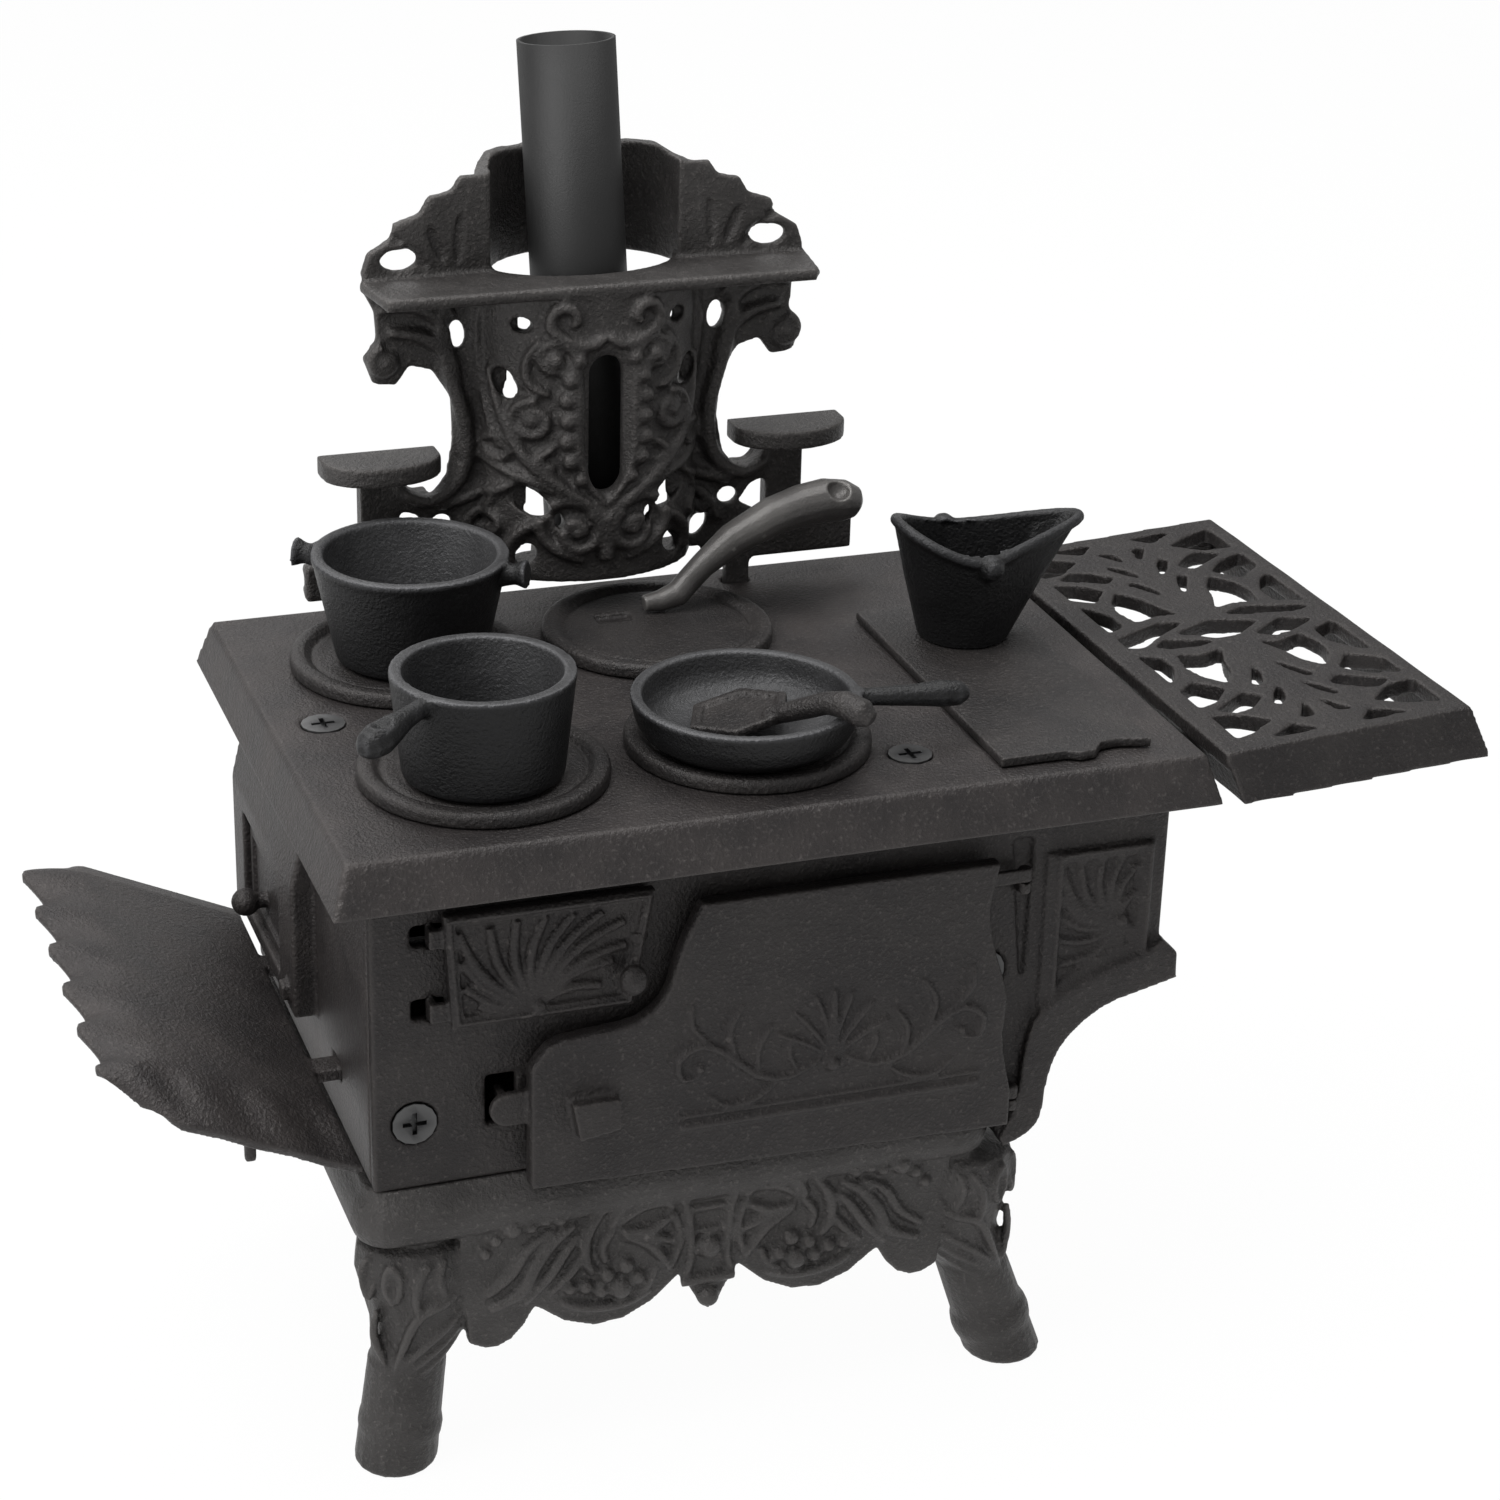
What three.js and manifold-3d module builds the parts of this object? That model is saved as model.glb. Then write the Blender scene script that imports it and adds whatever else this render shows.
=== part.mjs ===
// Miniature wood cook stove: a toy range in black cast iron, with its pots and tools.
// Millimetres, +Z up, front of the range towards -Y. While it is built, X and Y are counted
// from the middle of the cooktop and Z from the floor. The last lines centre the whole range.
import * as THREE from 'three';
import { mergeVertices } from 'three/addons/utils/BufferGeometryUtils.js';
import Module from 'manifold-3d';

const wasm = await Module();
wasm.setup();

// Fits that every piece shares
const seatGap = 0.3;
const slideFit = 0.4;
const cutOver = 2;
const wall = 3;
const fineRound = 26;
const coarseRound = 14;
const gripSlices = 9;
const gripSides = 10;

// Cooktop: a bevelled plate with a skirt, open underneath
const cooktop = { length: 205, depth: 145.5, height: 11.7, bevel: 3.7, plate: 3.2, skirt: 3, bottom: 149.3 };
const topSurface = cooktop.bottom + cooktop.height;
const topUnder = topSurface - cooktop.plate;
const bodyTop = topUnder - seatGap;

// Body: a box of screwed panels that stands in the base, with the cooktop standing out past it
const overhang = { left: 10.5, right: 7.2, front: 12.75, back: 14.75 };
const body = {
  left: overhang.left - cooktop.length / 2,
  right: cooktop.length / 2 - overhang.right,
  front: overhang.front - cooktop.depth / 2,
  back: cooktop.depth / 2 - overhang.back,
  bottom: 75.3,
};
const frontBack = body.front + wall;
const insideFront = frontBack + seatGap;
const insideBack = body.back - wall - seatGap;
const insideDepth = insideBack - insideFront;
const leftInner = body.left + wall;

// Stove lids: a flange with a raised ring on a neck that drops into the cooktop.
// Their size and places are shares of the cooktop's length and depth.
const lidShares = { left: -0.29, right: 0.0075, front: -0.2357, back: 0.2131, wide: 0.1356, deep: 0.1911 };
const lidRadius = Math.min(cooktop.length * lidShares.wide, cooktop.depth * lidShares.deep);
const lid = { flange: 3.6, neckDepth: 2.5, edge: 2.6, ring: 3.5, ringWidth: 2.4, bevel: 1.2, face: 2.5 };
const lidNeck = lidRadius - lid.flange;
const lidRows = { front: cooktop.depth * lidShares.front, back: cooktop.depth * lidShares.back };
const lidColumns = { left: cooktop.length * lidShares.left, right: cooktop.length * lidShares.right };
const lidSpots = {
  lid_front_left: [lidColumns.left, lidRows.front],
  lid_front_right: [lidColumns.right, lidRows.front],
  lid_back_left: [lidColumns.left, lidRows.back],
  lid_back_right: [lidColumns.right, lidRows.back],
};
const lifterSlot = { length: 9, width: 5, inset: 13 };
const lidSeat = topSurface + seatGap;
const lidFace = lidSeat + lid.face;

// Reservoir cover: a loose plate with a locating rim and a notched front edge
const coverShares = { left: 0.2488, right: 0.4293, front: -0.433, back: 0.1856 };
const cover = {
  left: cooktop.length * coverShares.left,
  right: cooktop.length * coverShares.right,
  front: cooktop.depth * coverShares.front,
  back: cooktop.depth * coverShares.back,
};
const coverPlate = { thick: 2.2, rim: 2, rimDepth: 1.6, notch: 2.4, bump: 1.6, inLeft: 9.5, inRight: 6,
  inEnds: 9 };
const coverEdgeShares = [[0, 0], [0.42, 0], [0.5, 1], [0.6, 0.8], [0.68, -1], [0.8, -1.2], [1, -0.4]];
const coverHole = {
  left: cover.left + coverPlate.inLeft,
  right: cover.right - coverPlate.inRight,
  front: cover.front + coverPlate.inEnds,
  back: cover.back - coverPlate.inEnds,
};
const coverFace = topSurface + seatGap + coverPlate.thick;

// The reservoir end sweeps in under the body in a concave arc; X counts from the body's right side
const tank = { wallIn: 38.7, sweepWall: 3 };
const partition = body.right - tank.wallIn;
const sweep = { heelIn: 37.4, heelHeight: 62.6, tipOut: 4.2, tipLow: 100.9, tipHigh: 107.5, lip: 111.4 };
const sweepHeel = body.right - sweep.heelIn;
const sweepTip = body.right + sweep.tipOut;
const sweepShares = [[0.12, 0.05], [0.2, 0.13], [0.226, 0.23], [0.24, 0.39], [0.272, 0.54], [0.337, 0.68],
  [0.477, 0.82], [0.62, 0.9], [0.81, 0.95]];
const moulding = { proud: 2.4, innerIn: 38.4, innerLow: 64.5, rightIn: 3.3, innerTop: 109 };
const mouldingShares = [[0.09, 0.17], [0.12, 0.31], [0.13, 0.46], [0.18, 0.66], [0.3, 0.78], [0.52, 0.86],
  [0.78, 0.95]];
const groove = { leftIn: 38.9, rightIn: 33.5, tipIn: 34.1, top: 141.5, bottom: 94, depth: 1.4 };
const reliefFrame = { leftIn: 30.3, rightIn: 3.7, top: 137, low: 95, lowRight: 108.6, rail: 3, proud: 1.2 };

// Screws: countersunk cross-head
const screw = { head: 5, cone: 2.6, shank: 1.9, length: 11, flat: 0.4, cross: 1.1, crossLong: 5.4,
  crossDeep: 1.1 };
const boss = { radius: 4.6, length: 13 };
const screwInset = { left: 9.4, right: 44.1 };
const screwHeight = { left: 91.7, right: 109 };
const topScrewShares = { cooktop_screw_left: [-0.4224, 0.0206], cooktop_screw_right: [0.1693, -0.3395] };
const leftScrew = [body.left + screwInset.left, screwHeight.left];
const rightScrew = [body.right - screwInset.right, screwHeight.right];
const frontScrews = { front_screw_left: leftScrew, front_screw_right: rightScrew };
const backScrews = { back_screw_left: leftScrew, back_screw_right: rightScrew };

// Hinges: each door turns on two trunnions that sit in a slot of its panel
const hinge = { pin: 0.8, barrel: 4.4, pocket: 1.2, slotLeft: 4.3, slotRight: 3.2, arm: 1.6, lean: 0.9,
  inside: 1.3 };

// Oven door, hinged at its right edge, with a latch tongue at the left
const ovenDoor = { leftIn: 36.8, rightIn: 38.6, bottom: 71, top: 139.4, thick: 4.2, bevel: 3, proud: 2.5 };
const ovenLeft = body.left + ovenDoor.leftIn;
const ovenRight = body.right - ovenDoor.rightIn;
const ovenShares = { lowLeft: 0.055, corner: [0.34, 0.965], topRight: 0.925, round: 0.72, lowCut: 1.2,
  curve: [[0, 0.47], [0.03, 0.53], [0.1, 0.545], [0.2, 0.565], [0.27, 0.66], [0.3, 0.82]],
  edge: [[0.905, 0.83], [0.925, 0.66], [0.955, 0.49], [0.95, 0.34], [0.972, 0.15]] };
const ovenHinge = { out: 2, ahead: 2.6, radius: 1.6, topIn: 7, lowIn: 5.2, ear: 3.2, lug: 3, pin: 2.2 };
const ovenHingeX = ovenRight + ovenHinge.out;
const ovenHingeY = body.front - ovenHinge.ahead;
const ovenHingeZs = [ovenDoor.top - ovenHinge.topIn, ovenDoor.bottom + ovenHinge.lowIn];
const mouthInset = { left: 15.2, right: 11.7, bottom: 10, top: 10.4 };
const latch = { out: 7.6, up: 23.2, radius: 4, thick: 2.2, reach: 7 };
const latchX = ovenLeft - latch.out;
const latchZ = ovenDoor.bottom + latch.up;
const keeper = { left: 3.8, right: 3.2, low: 5.7, high: 6.8 };
const handle = { inset: 11.2, up: 20.3, width: 11, narrow: 7.6, tall: 9, proud: 3.4 };
const handleZ = ovenDoor.bottom + handle.up;

// Fire door, hinged at its left edge and fitted between the hinge and the step of the oven door
const fireDoor = { leftIn: 15.4, lowLeftIn: 17.2, clear: 12.05, slant: 4.8, top: 143.2, bottom: 115.8,
  thick: 2.6, rail: 2.6, sunk: 1.1, knobIn: 1, knobUp: 6.8, knob: 2.9, stem: 1.8, stand: 3.4 };
const fireLeft = body.left + fireDoor.leftIn;
const fireLowLeft = body.left + fireDoor.lowLeftIn;
const fireRight = ovenLeft + (ovenRight - ovenLeft) * ovenShares.corner[0] - fireDoor.clear;
const fireLowRight = fireRight - fireDoor.slant;
const fireHinge = { out: 2, topIn: 5.8, lowIn: 3.8 };
const fireHingeZs = [fireDoor.top - fireHinge.topIn, fireDoor.bottom + fireHinge.lowIn];
const fireHingeX = fireLeft - fireHinge.out;
const fireMouth = { left: 4.6, right: 7.8, top: 4.2, bottom: 4.2 };
const doorGap = 1.1;

// Left end: frame with a hood, and a flap that hangs from its top edge; Y counts from the body's back
const endFrame = { nearIn: 66, farIn: 1.5, bottom: 92.4, top: 124.5, proud: 5.6, hoodTop: 148.4 };
const frameNear = body.back - endFrame.nearIn;
const frameFar = body.back - endFrame.farIn;
const endMouth = { nearIn: 51, farIn: 13, bottom: 97, top: 121 };
const mouthNear = body.back - endMouth.nearIn;
const mouthFar = body.back - endMouth.farIn;
const flap = { thick: 2.4, knob: 3.5, knobNeck: 2, knobStand: 3.4, rail: 2.6, sunk: 0.9, hang: 2.6 };
const flapKnobShares = { along: 0.62, up: 0.34 };

// Hearth: a ruffled plate hung on two hooks at the left end
const hearth = { z: 90.4, length: 58.6, nearIn: 0.5, farIn: 1, thick: 2.6, rise: 25, drop: 9.6, curl: 7,
  ruffle: 1.7 };
const hearthX = body.left - endFrame.proud;
const hearthNear = body.front + hearth.nearIn;
const hearthFar = body.back - hearth.farIn;
const hearthShares = { outEdge: 0.72, nearEdge: 0.12, farEdge: 0.94, scallopEdge: 0.8, prop: 0.06 };
const hearthWaves = { out: 6, near: 3.5, outPower: 1.6, nearPower: 1.4 };
const hearthHook = { width: 7, thick: 3, spread: 26, reach: 11.6, toe: 5, toeThick: 2, play: 0.9 };
const hearthLeg = { width: 2.6, drop: 10, out: 24, nearIn: 7, thick: 2.2 };

// Side shelf: a grille of bars and arcs with a bevelled skirt, hooked into the cooktop edge
const shelf = { width: 63, setIn: 17.1, bar: 3.6, border: 6.5, thick: 4, nest: 2.9, tilt: 3.1, yaw: 1.2,
  out: 0.7, ahead: 2.95 };
const shelfDepth = cooktop.depth - shelf.setIn;
const shelfCorner = { x: cooktop.length / 2 + shelf.out, y: shelf.ahead - cooktop.depth / 2, z: topSurface };
const shelfTongue = { width: 8, thick: 1.6, inset: 24, reach: 6.3, under: 5, toe: 1.2, play: 1.2 };
const tongueTip = cooktop.length / 2 - shelfTongue.reach;
const tongueTop = topUnder - shelfTongue.under;

// Base: one casting with a rounded moulding, an apron front and back, and four legs
const baseRim = { left: 4.5, right: 39.1, ends: 3.6, rimShare: 0.7 };
const base = {
  left: body.left - baseRim.left,
  right: body.right - baseRim.right,
  front: body.front - baseRim.ends,
  back: body.back + baseRim.ends,
  top: body.bottom,
  bottom: 61,
  corner: 9,
  floor: 4,
};
const baseShares = [[0, 0.36], [0.1, 0.14], [0.3, 0.02], [0.52, 0.04], [0.7, 0.14], [0.86, 0.29], [1, 0.38]];
const apron = { aside: 6.15, lowest: 31, thick: 3, inset: 2.4 };
const apronMiddle = (base.left + base.right) / 2 + apron.aside;
const apronHalfShare = 0.3733;
const apronHalf = (base.right - base.left) * apronHalfShare;
const apronShares = { rise: 1.04, lobes: [[0.05, 0.92, 0.12, 0.62], [0.42, 1.28, 0.73, 0.7],
  [0.84, 1.16, 1, 0.94]] };
const leg = { knee: 14.6, kneeDepth: 12.2, ankle: 8.4, foot: 9.6, footTop: 26, inset: 13, drum: 8.6,
  drumTop: 66.5, drumIn: 8.9, kneeLeftIn: 16, kneeRightIn: 5.4, notch: 9.7 };
const legShares = { top: 0.93, calf: [0.86, 0.9], ankle: 0.4, footTop: 0.94, neck: 0.8 };
const legSides = { shin: 14, foot: 18 };
const footInset = { frontLeft: 10, frontRight: 8.6, backLeft: 33, backRight: 8.6, front: 10.8, back: 11.8 };
const feet = {
  front: {
    left: base.left + footInset.frontLeft,
    right: base.right + footInset.frontRight,
    y: base.front + footInset.front,
  },
  back: {
    left: base.left + footInset.backLeft,
    right: base.right - footInset.backRight,
    y: base.back - footInset.back,
  },
};

// Backsplash: a pierced panel that bulges in front of the pipe and hollows behind it
const planeShare = 0.4192;
const panel = { middle: -7.6, plane: cooktop.depth * planeShare, thick: 3.4, bottom: 167, floor: 171.5,
  shelfZ: 243.2, shelfThick: 2 };
const bulge = { halfWidth: 26.5, forward: 17.5, behind: 23.5 };
const crest = { top: 270.5, halfWidth: 54.5 };
const crestShares = [[0.96, 0], [1, 0.12], [0.97, 0.3], [0.87, 0.42], [0.85, 0.55], [0.74, 0.62], [0.7, 0.76],
  [0.6, 0.8], [0.56, 0.92], [0.44, 0.93], [0.38, 1], [0.2, 0.97], [0.14, 1]];
const crestHoleShares = [[0.835, 0.231, 0.0844, 0.0952]];
const footShare = 0.55;
const railShare = 1.28;
const wingShares = [[footShare, 0], [railShare, 0], [railShare, 0.12], [0.82, 0.16], [0.72, 0.2],
  [0.78, 0.26], [0.98, 0.3], [1.05, 0.44], [0.86, 0.44], [0.84, 0.36], [0.72, 0.31], [0.64, 0.38],
  [0.61, 0.5], [0.62, 0.64], [0.7, 0.73], [0.8, 0.75], [0.86, 0.69], [0.96, 0.7], [1, 0.78], [0.94, 0.84],
  [0.95, 0.93], [1, 1]];
const wingHoleShares = [[0.594, 0.844, 0.033, 0.042], [0.308, 0.814, 0.037, 0.021],
  [0.36, 0.66, 0.044, 0.042], [0.268, 0.276, 0.066, 0.045], [0.569, 0.269, 0.051, 0.039],
  [0.321, 0.125, 0.051, 0.034]];
const railShares = { tall: 0.12, ribs: [0.25, 0.8] };
const shelfHoleShare = 0.43;
const trivet = { inner: 36.8, outer: 65.6, top: 203, thick: 3.3, depth: 14 };
const trivetShares = { straight: 1 / 3, round: 0.7, post: 1 / 3 };
const peg = { offset: 39.6, width: 6.2, depth: 4, sink: 2.6 };
const pipeSlot = { width: 8.4, bottom: 194, top: 228 };

// Stove pipe: a thin tube that leans back against the hollow of the crest
const pipe = { radius: 11.6, wall: 0.9, aside: 2, ahead: 0.8, leanX: -2, leanY: 5, top: 297 };

// Pots and tools: a pot's radii and place are shares of the radius of the lid that it stands on
const dutchShares = { x: 0, y: -0.086, base: 0.633, rim: 0.806 };
const panShares = { x: -0.047, y: -0.162, base: 0.64, rim: 0.7266 };
const skilletShares = { x: -0.0755, y: -0.155, base: 0.59, rim: 0.928, blade: 0.417 };
const potOn = (spot, shares) => ({
  x: spot[0] + lidRadius * shares.x,
  y: spot[1] + lidRadius * shares.y,
  baseRadius: lidRadius * shares.base,
  rimRadius: lidRadius * shares.rim,
});
const dutch = { ...potOn(lidSpots.lid_back_left, dutchShares), height: 26, wall: 2.2, earTurn: -31 };
const ear = { reach: 5.6, neck: 2.3, button: 3.2, buttonThick: 2, drop: 3.2 };
const pan = { ...potOn(lidSpots.lid_front_left, panShares), height: 24.5, wall: 2.2, handleTurn: 216,
  reach: 20.3 };
const skillet = { ...potOn(lidSpots.lid_front_right, skilletShares), height: 11.6, wall: 2.2, handleTurn: -12,
  reach: 24.7 };
const panGripShares = { along: [0.35, 0.75], drop: [1, 1.3, 1.9, 2.2], radius: [1.1, 1, 1.7, 2, 0.8] };
const skilletGripShares = { along: [0.3, 0.8], rise: 0.25, radius: [0.9, 1.1, 1.6, 1.5, 0.3] };
const shovel = { blade: lidRadius * skilletShares.blade, thick: 2.2, turn: -68, handle: 4.2, tipOut: 5.2,
  corners: 6 };
const shovelShares = { root: 0.6, clear: 0.7, radius: [0.5, 0.5, 0.5, 0.7, 0.4] };
const lifter = { aside: 9.4, radius: 3.2, tipRadius: 2, slices: 18, length: 54, height: 22.4 };
const lifterShares = [[-0.011, 0], [0.148, 0.071], [0.259, 0.357], [0.407, 0.625], [0.593, 0.848], [0.815, 1],
  [1, 0.964]];
const lifterThickShares = [0.44, 0.9, 0.8, 0.9, 1, 1.1, 0.9];
const hod = { aside: 1.3, backIn: 20, baseRadius: 11, height: 28, back: 20.6, side: 13, spout: 29.6,
  saddle: 4.6, wall: 1.7, ear: 3.4 };
const hodX = (cover.left + cover.right) / 2 + hod.aside;
const hodY = cover.back - hod.backIn;
const hodShares = { levels: [0, 0.5, 1], pinch: 0.3, spoutPower: 1.5 };
const hodSides = 24;

// Finish of the castings and of the turned steel
const castIron = { color: 0x2c2a29, roughness: 0.62, metalness: 0.55 };
const castIronWarm = { color: 0x343030, roughness: 0.66, metalness: 0.5 };
const potIron = { color: 0x222323, roughness: 0.55, metalness: 0.6 };
const rolledSteel = { color: 0x27282a, roughness: 0.5, metalness: 0.7 };
const screwSteel = { color: 0x1f1f20, roughness: 0.4, metalness: 0.8 };

// Solids and how they are joined and cut

function solidFrom(geometry) {
  const bare = geometry.clone();
  bare.deleteAttribute('normal');
  bare.deleteAttribute('uv');
  const merged = mergeVertices(bare);
  const spots = merged.attributes.position.array;
  const corners = [];
  let volume = 0;
  const a = new THREE.Vector3();
  const b = new THREE.Vector3();
  const c = new THREE.Vector3();
  for (let i = 0; i < merged.index.count; i += 3) {
    const [p, q, r] = [0, 1, 2].map((k) => merged.index.getX(i + k));
    if (p === q || q === r || r === p) continue;
    corners.push(p, q, r);
    a.fromArray(spots, 3 * p);
    b.fromArray(spots, 3 * q);
    c.fromArray(spots, 3 * r);
    volume += a.dot(b.cross(c));
  }
  if (volume < 0) corners.reverse();
  return new wasm.Manifold(new wasm.Mesh({
    numProp: 3,
    vertProperties: new Float32Array(spots),
    triVerts: new Uint32Array(corners),
  }));
}

function join(...solids) {
  return solids.reduce((whole, next) => whole.add(next));
}

function cut(whole, ...tools) {
  return tools.reduce((rest, tool) => rest.subtract(tool), whole);
}

function piece(name, solid, finish) {
  const mesh = solid.getMesh();
  const geometry = new THREE.BufferGeometry();
  geometry.setAttribute('position', new THREE.BufferAttribute(new Float32Array(mesh.vertProperties), 3));
  geometry.setIndex(new THREE.BufferAttribute(new Uint32Array(mesh.triVerts), 1));
  geometry.computeVertexNormals();
  const made = new THREE.Mesh(geometry, new THREE.MeshStandardMaterial(finish));
  made.name = name;
  return made;
}

// A box between two corners
function block(x0, y0, z0, x1, y1, z1) {
  const geometry = new THREE.BoxGeometry(x1 - x0, y1 - y0, z1 - z0);
  geometry.translate((x0 + x1) / 2, (y0 + y1) / 2, (z0 + z1) / 2);
  return solidFrom(geometry);
}

// A drum from one point to another, with a radius at each end
function drum(from, to, startRadius, endRadius = startRadius, sides = coarseRound) {
  const start = new THREE.Vector3(...from);
  const run = new THREE.Vector3(...to).sub(start);
  const geometry = new THREE.CylinderGeometry(endRadius, startRadius, run.length(), sides);
  geometry.translate(0, run.length() / 2, 0);
  const turn = new THREE.Quaternion().setFromUnitVectors(new THREE.Vector3(0, 1, 0), run.clone().normalize());
  geometry.applyQuaternion(turn);
  geometry.translate(start.x, start.y, start.z);
  return solidFrom(geometry);
}

function ball(x, y, z, radius, sides = coarseRound) {
  const geometry = new THREE.SphereGeometry(radius, sides, sides / 2);
  geometry.translate(x, y, z);
  return solidFrom(geometry);
}

// A profile of radius and height turned about a standing axis
function turned(profile, x, y, z, sides = fineRound) {
  const points = profile.map(([radius, height]) => new THREE.Vector2(radius, height));
  const geometry = new THREE.LatheGeometry(points, sides);
  geometry.rotateX(Math.PI / 2);
  geometry.translate(x, y, z);
  return solidFrom(geometry);
}

function shapeOf(points) {
  return new THREE.Shape(points.map(([u, v]) => new THREE.Vector2(u, v)));
}

// A lying plate, and a plate that faces the front
function lying(shape, thick, z, segments = 6) {
  const geometry = new THREE.ExtrudeGeometry(shape,
    { depth: thick, bevelEnabled: false, curveSegments: segments });
  geometry.translate(0, 0, z);
  return solidFrom(geometry);
}

function upright(shape, thick, backY, segments = 6) {
  const geometry = new THREE.ExtrudeGeometry(shape,
    { depth: thick, bevelEnabled: false, curveSegments: segments });
  geometry.rotateX(Math.PI / 2);
  geometry.translate(0, backY, 0);
  return solidFrom(geometry);
}

// Rings of points, each with the same count, skinned and capped into one solid
function skinned(rings) {
  const count = rings[0].length;
  const spots = rings.flat().flatMap((point) => [point.x, point.y, point.z]);
  const index = [];
  for (let ring = 0; ring < rings.length - 1; ring += 1) {
    for (let k = 0; k < count; k += 1) {
      const here = ring * count + k;
      const next = ring * count + (k + 1) % count;
      index.push(here, next, next + count, here, next + count, here + count);
    }
  }
  for (const [start, flip] of [[0, true], [(rings.length - 1) * count, false]]) {
    const flat = rings[start / count];
    const middle = flat.reduce((sum, point) => sum.add(point), new THREE.Vector3()).divideScalar(count);
    const hub = spots.length / 3;
    spots.push(middle.x, middle.y, middle.z);
    for (let k = 0; k < count; k += 1) {
      const pair = [start + k, start + (k + 1) % count];
      if (flip) pair.reverse();
      index.push(hub, ...pair);
    }
  }
  const geometry = new THREE.BufferGeometry();
  geometry.setAttribute('position', new THREE.Float32BufferAttribute(spots, 3));
  geometry.setIndex(index);
  return solidFrom(geometry);
}

// A rounded rectangle as a level ring of points
function roundedRing(x0, y0, x1, y1, radius, z, steps = 4) {
  const ring = [];
  const centres = [[x1 - radius, y1 - radius], [x0 + radius, y1 - radius], [x0 + radius, y0 + radius],
    [x1 - radius, y0 + radius]];
  centres.forEach(([cx, cy], corner) => {
    for (let k = 0; k <= steps; k += 1) {
      const angle = (corner + k / steps) * Math.PI / 2;
      ring.push(new THREE.Vector3(cx + radius * Math.cos(angle), cy + radius * Math.sin(angle), z));
    }
  });
  return ring;
}

// A tube of changing radius along a curve through points
function tube(points, radii, steps, sides) {
  const curve = new THREE.CatmullRomCurve3(points.map((point) => new THREE.Vector3(...point)));
  const frames = curve.computeFrenetFrames(steps, false);
  const rings = [];
  for (let step = 0; step <= steps; step += 1) {
    const along = step / steps;
    const place = (radii.length - 1) * along;
    const low = Math.min(Math.floor(place), radii.length - 2);
    const radius = THREE.MathUtils.lerp(radii[low], radii[low + 1], place - low);
    const centre = curve.getPointAt(along);
    const ring = [];
    for (let k = 0; k < sides; k += 1) {
      const angle = 2 * Math.PI * k / sides;
      ring.push(centre.clone()
        .addScaledVector(frames.normals[step], radius * Math.cos(angle))
        .addScaledVector(frames.binormals[step], radius * Math.sin(angle)));
    }
    rings.push(ring);
  }
  return skinned(rings);
}

const radians = (degrees) => degrees * Math.PI / 180;

// Screws

const screwBody = [[0, -screw.length], [screw.shank, -screw.length], [screw.shank, -screw.cone - screw.flat],
  [screw.head, -screw.flat], [screw.head, 0], [0, 0]];
const screwSink = [[0, -screw.length - screw.flat], [screw.shank + slideFit, -screw.length - screw.flat],
  [screw.shank + slideFit, -screw.cone - 2 * screw.flat], [screw.head + slideFit, -2 * screw.flat],
  [screw.head + slideFit, cutOver], [0, cutOver]];

function screwSolid() {
  const bar = [screw.crossLong / 2, screw.cross / 2];
  const long = block(-bar[0], -bar[1], -screw.crossDeep, bar[0], bar[1], cutOver);
  const wide = block(-bar[1], -bar[0], -screw.crossDeep, bar[1], bar[0], cutOver);
  return cut(turned(screwBody, 0, 0, 0, coarseRound), long, wide);
}

// Which way a screw head looks, as turns about X: up, to the front, to the back
const headTurns = { up: 0, front: 90, back: -90 };

function faceScrew(solid, look, spot) {
  return solid.rotate([headTurns[look], 0, 0]).translate(spot);
}

function screwHole(look, spot) {
  return faceScrew(turned(screwSink, 0, 0, 0, coarseRound), look, spot);
}

const screwSpots = {};
for (const [name, [x, y]] of Object.entries(topScrewShares)) {
  screwSpots[name] = ['up', [cooktop.length * x, cooktop.depth * y, topSurface]];
}
for (const [name, [x, z]] of Object.entries(frontScrews)) screwSpots[name] = ['front', [x, body.front, z]];
for (const [name, [x, z]] of Object.entries(backScrews)) screwSpots[name] = ['back', [x, body.back, z]];
const screwHoles = Object.values(screwSpots).map(([look, spot]) => screwHole(look, spot));

// Cooktop

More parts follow.
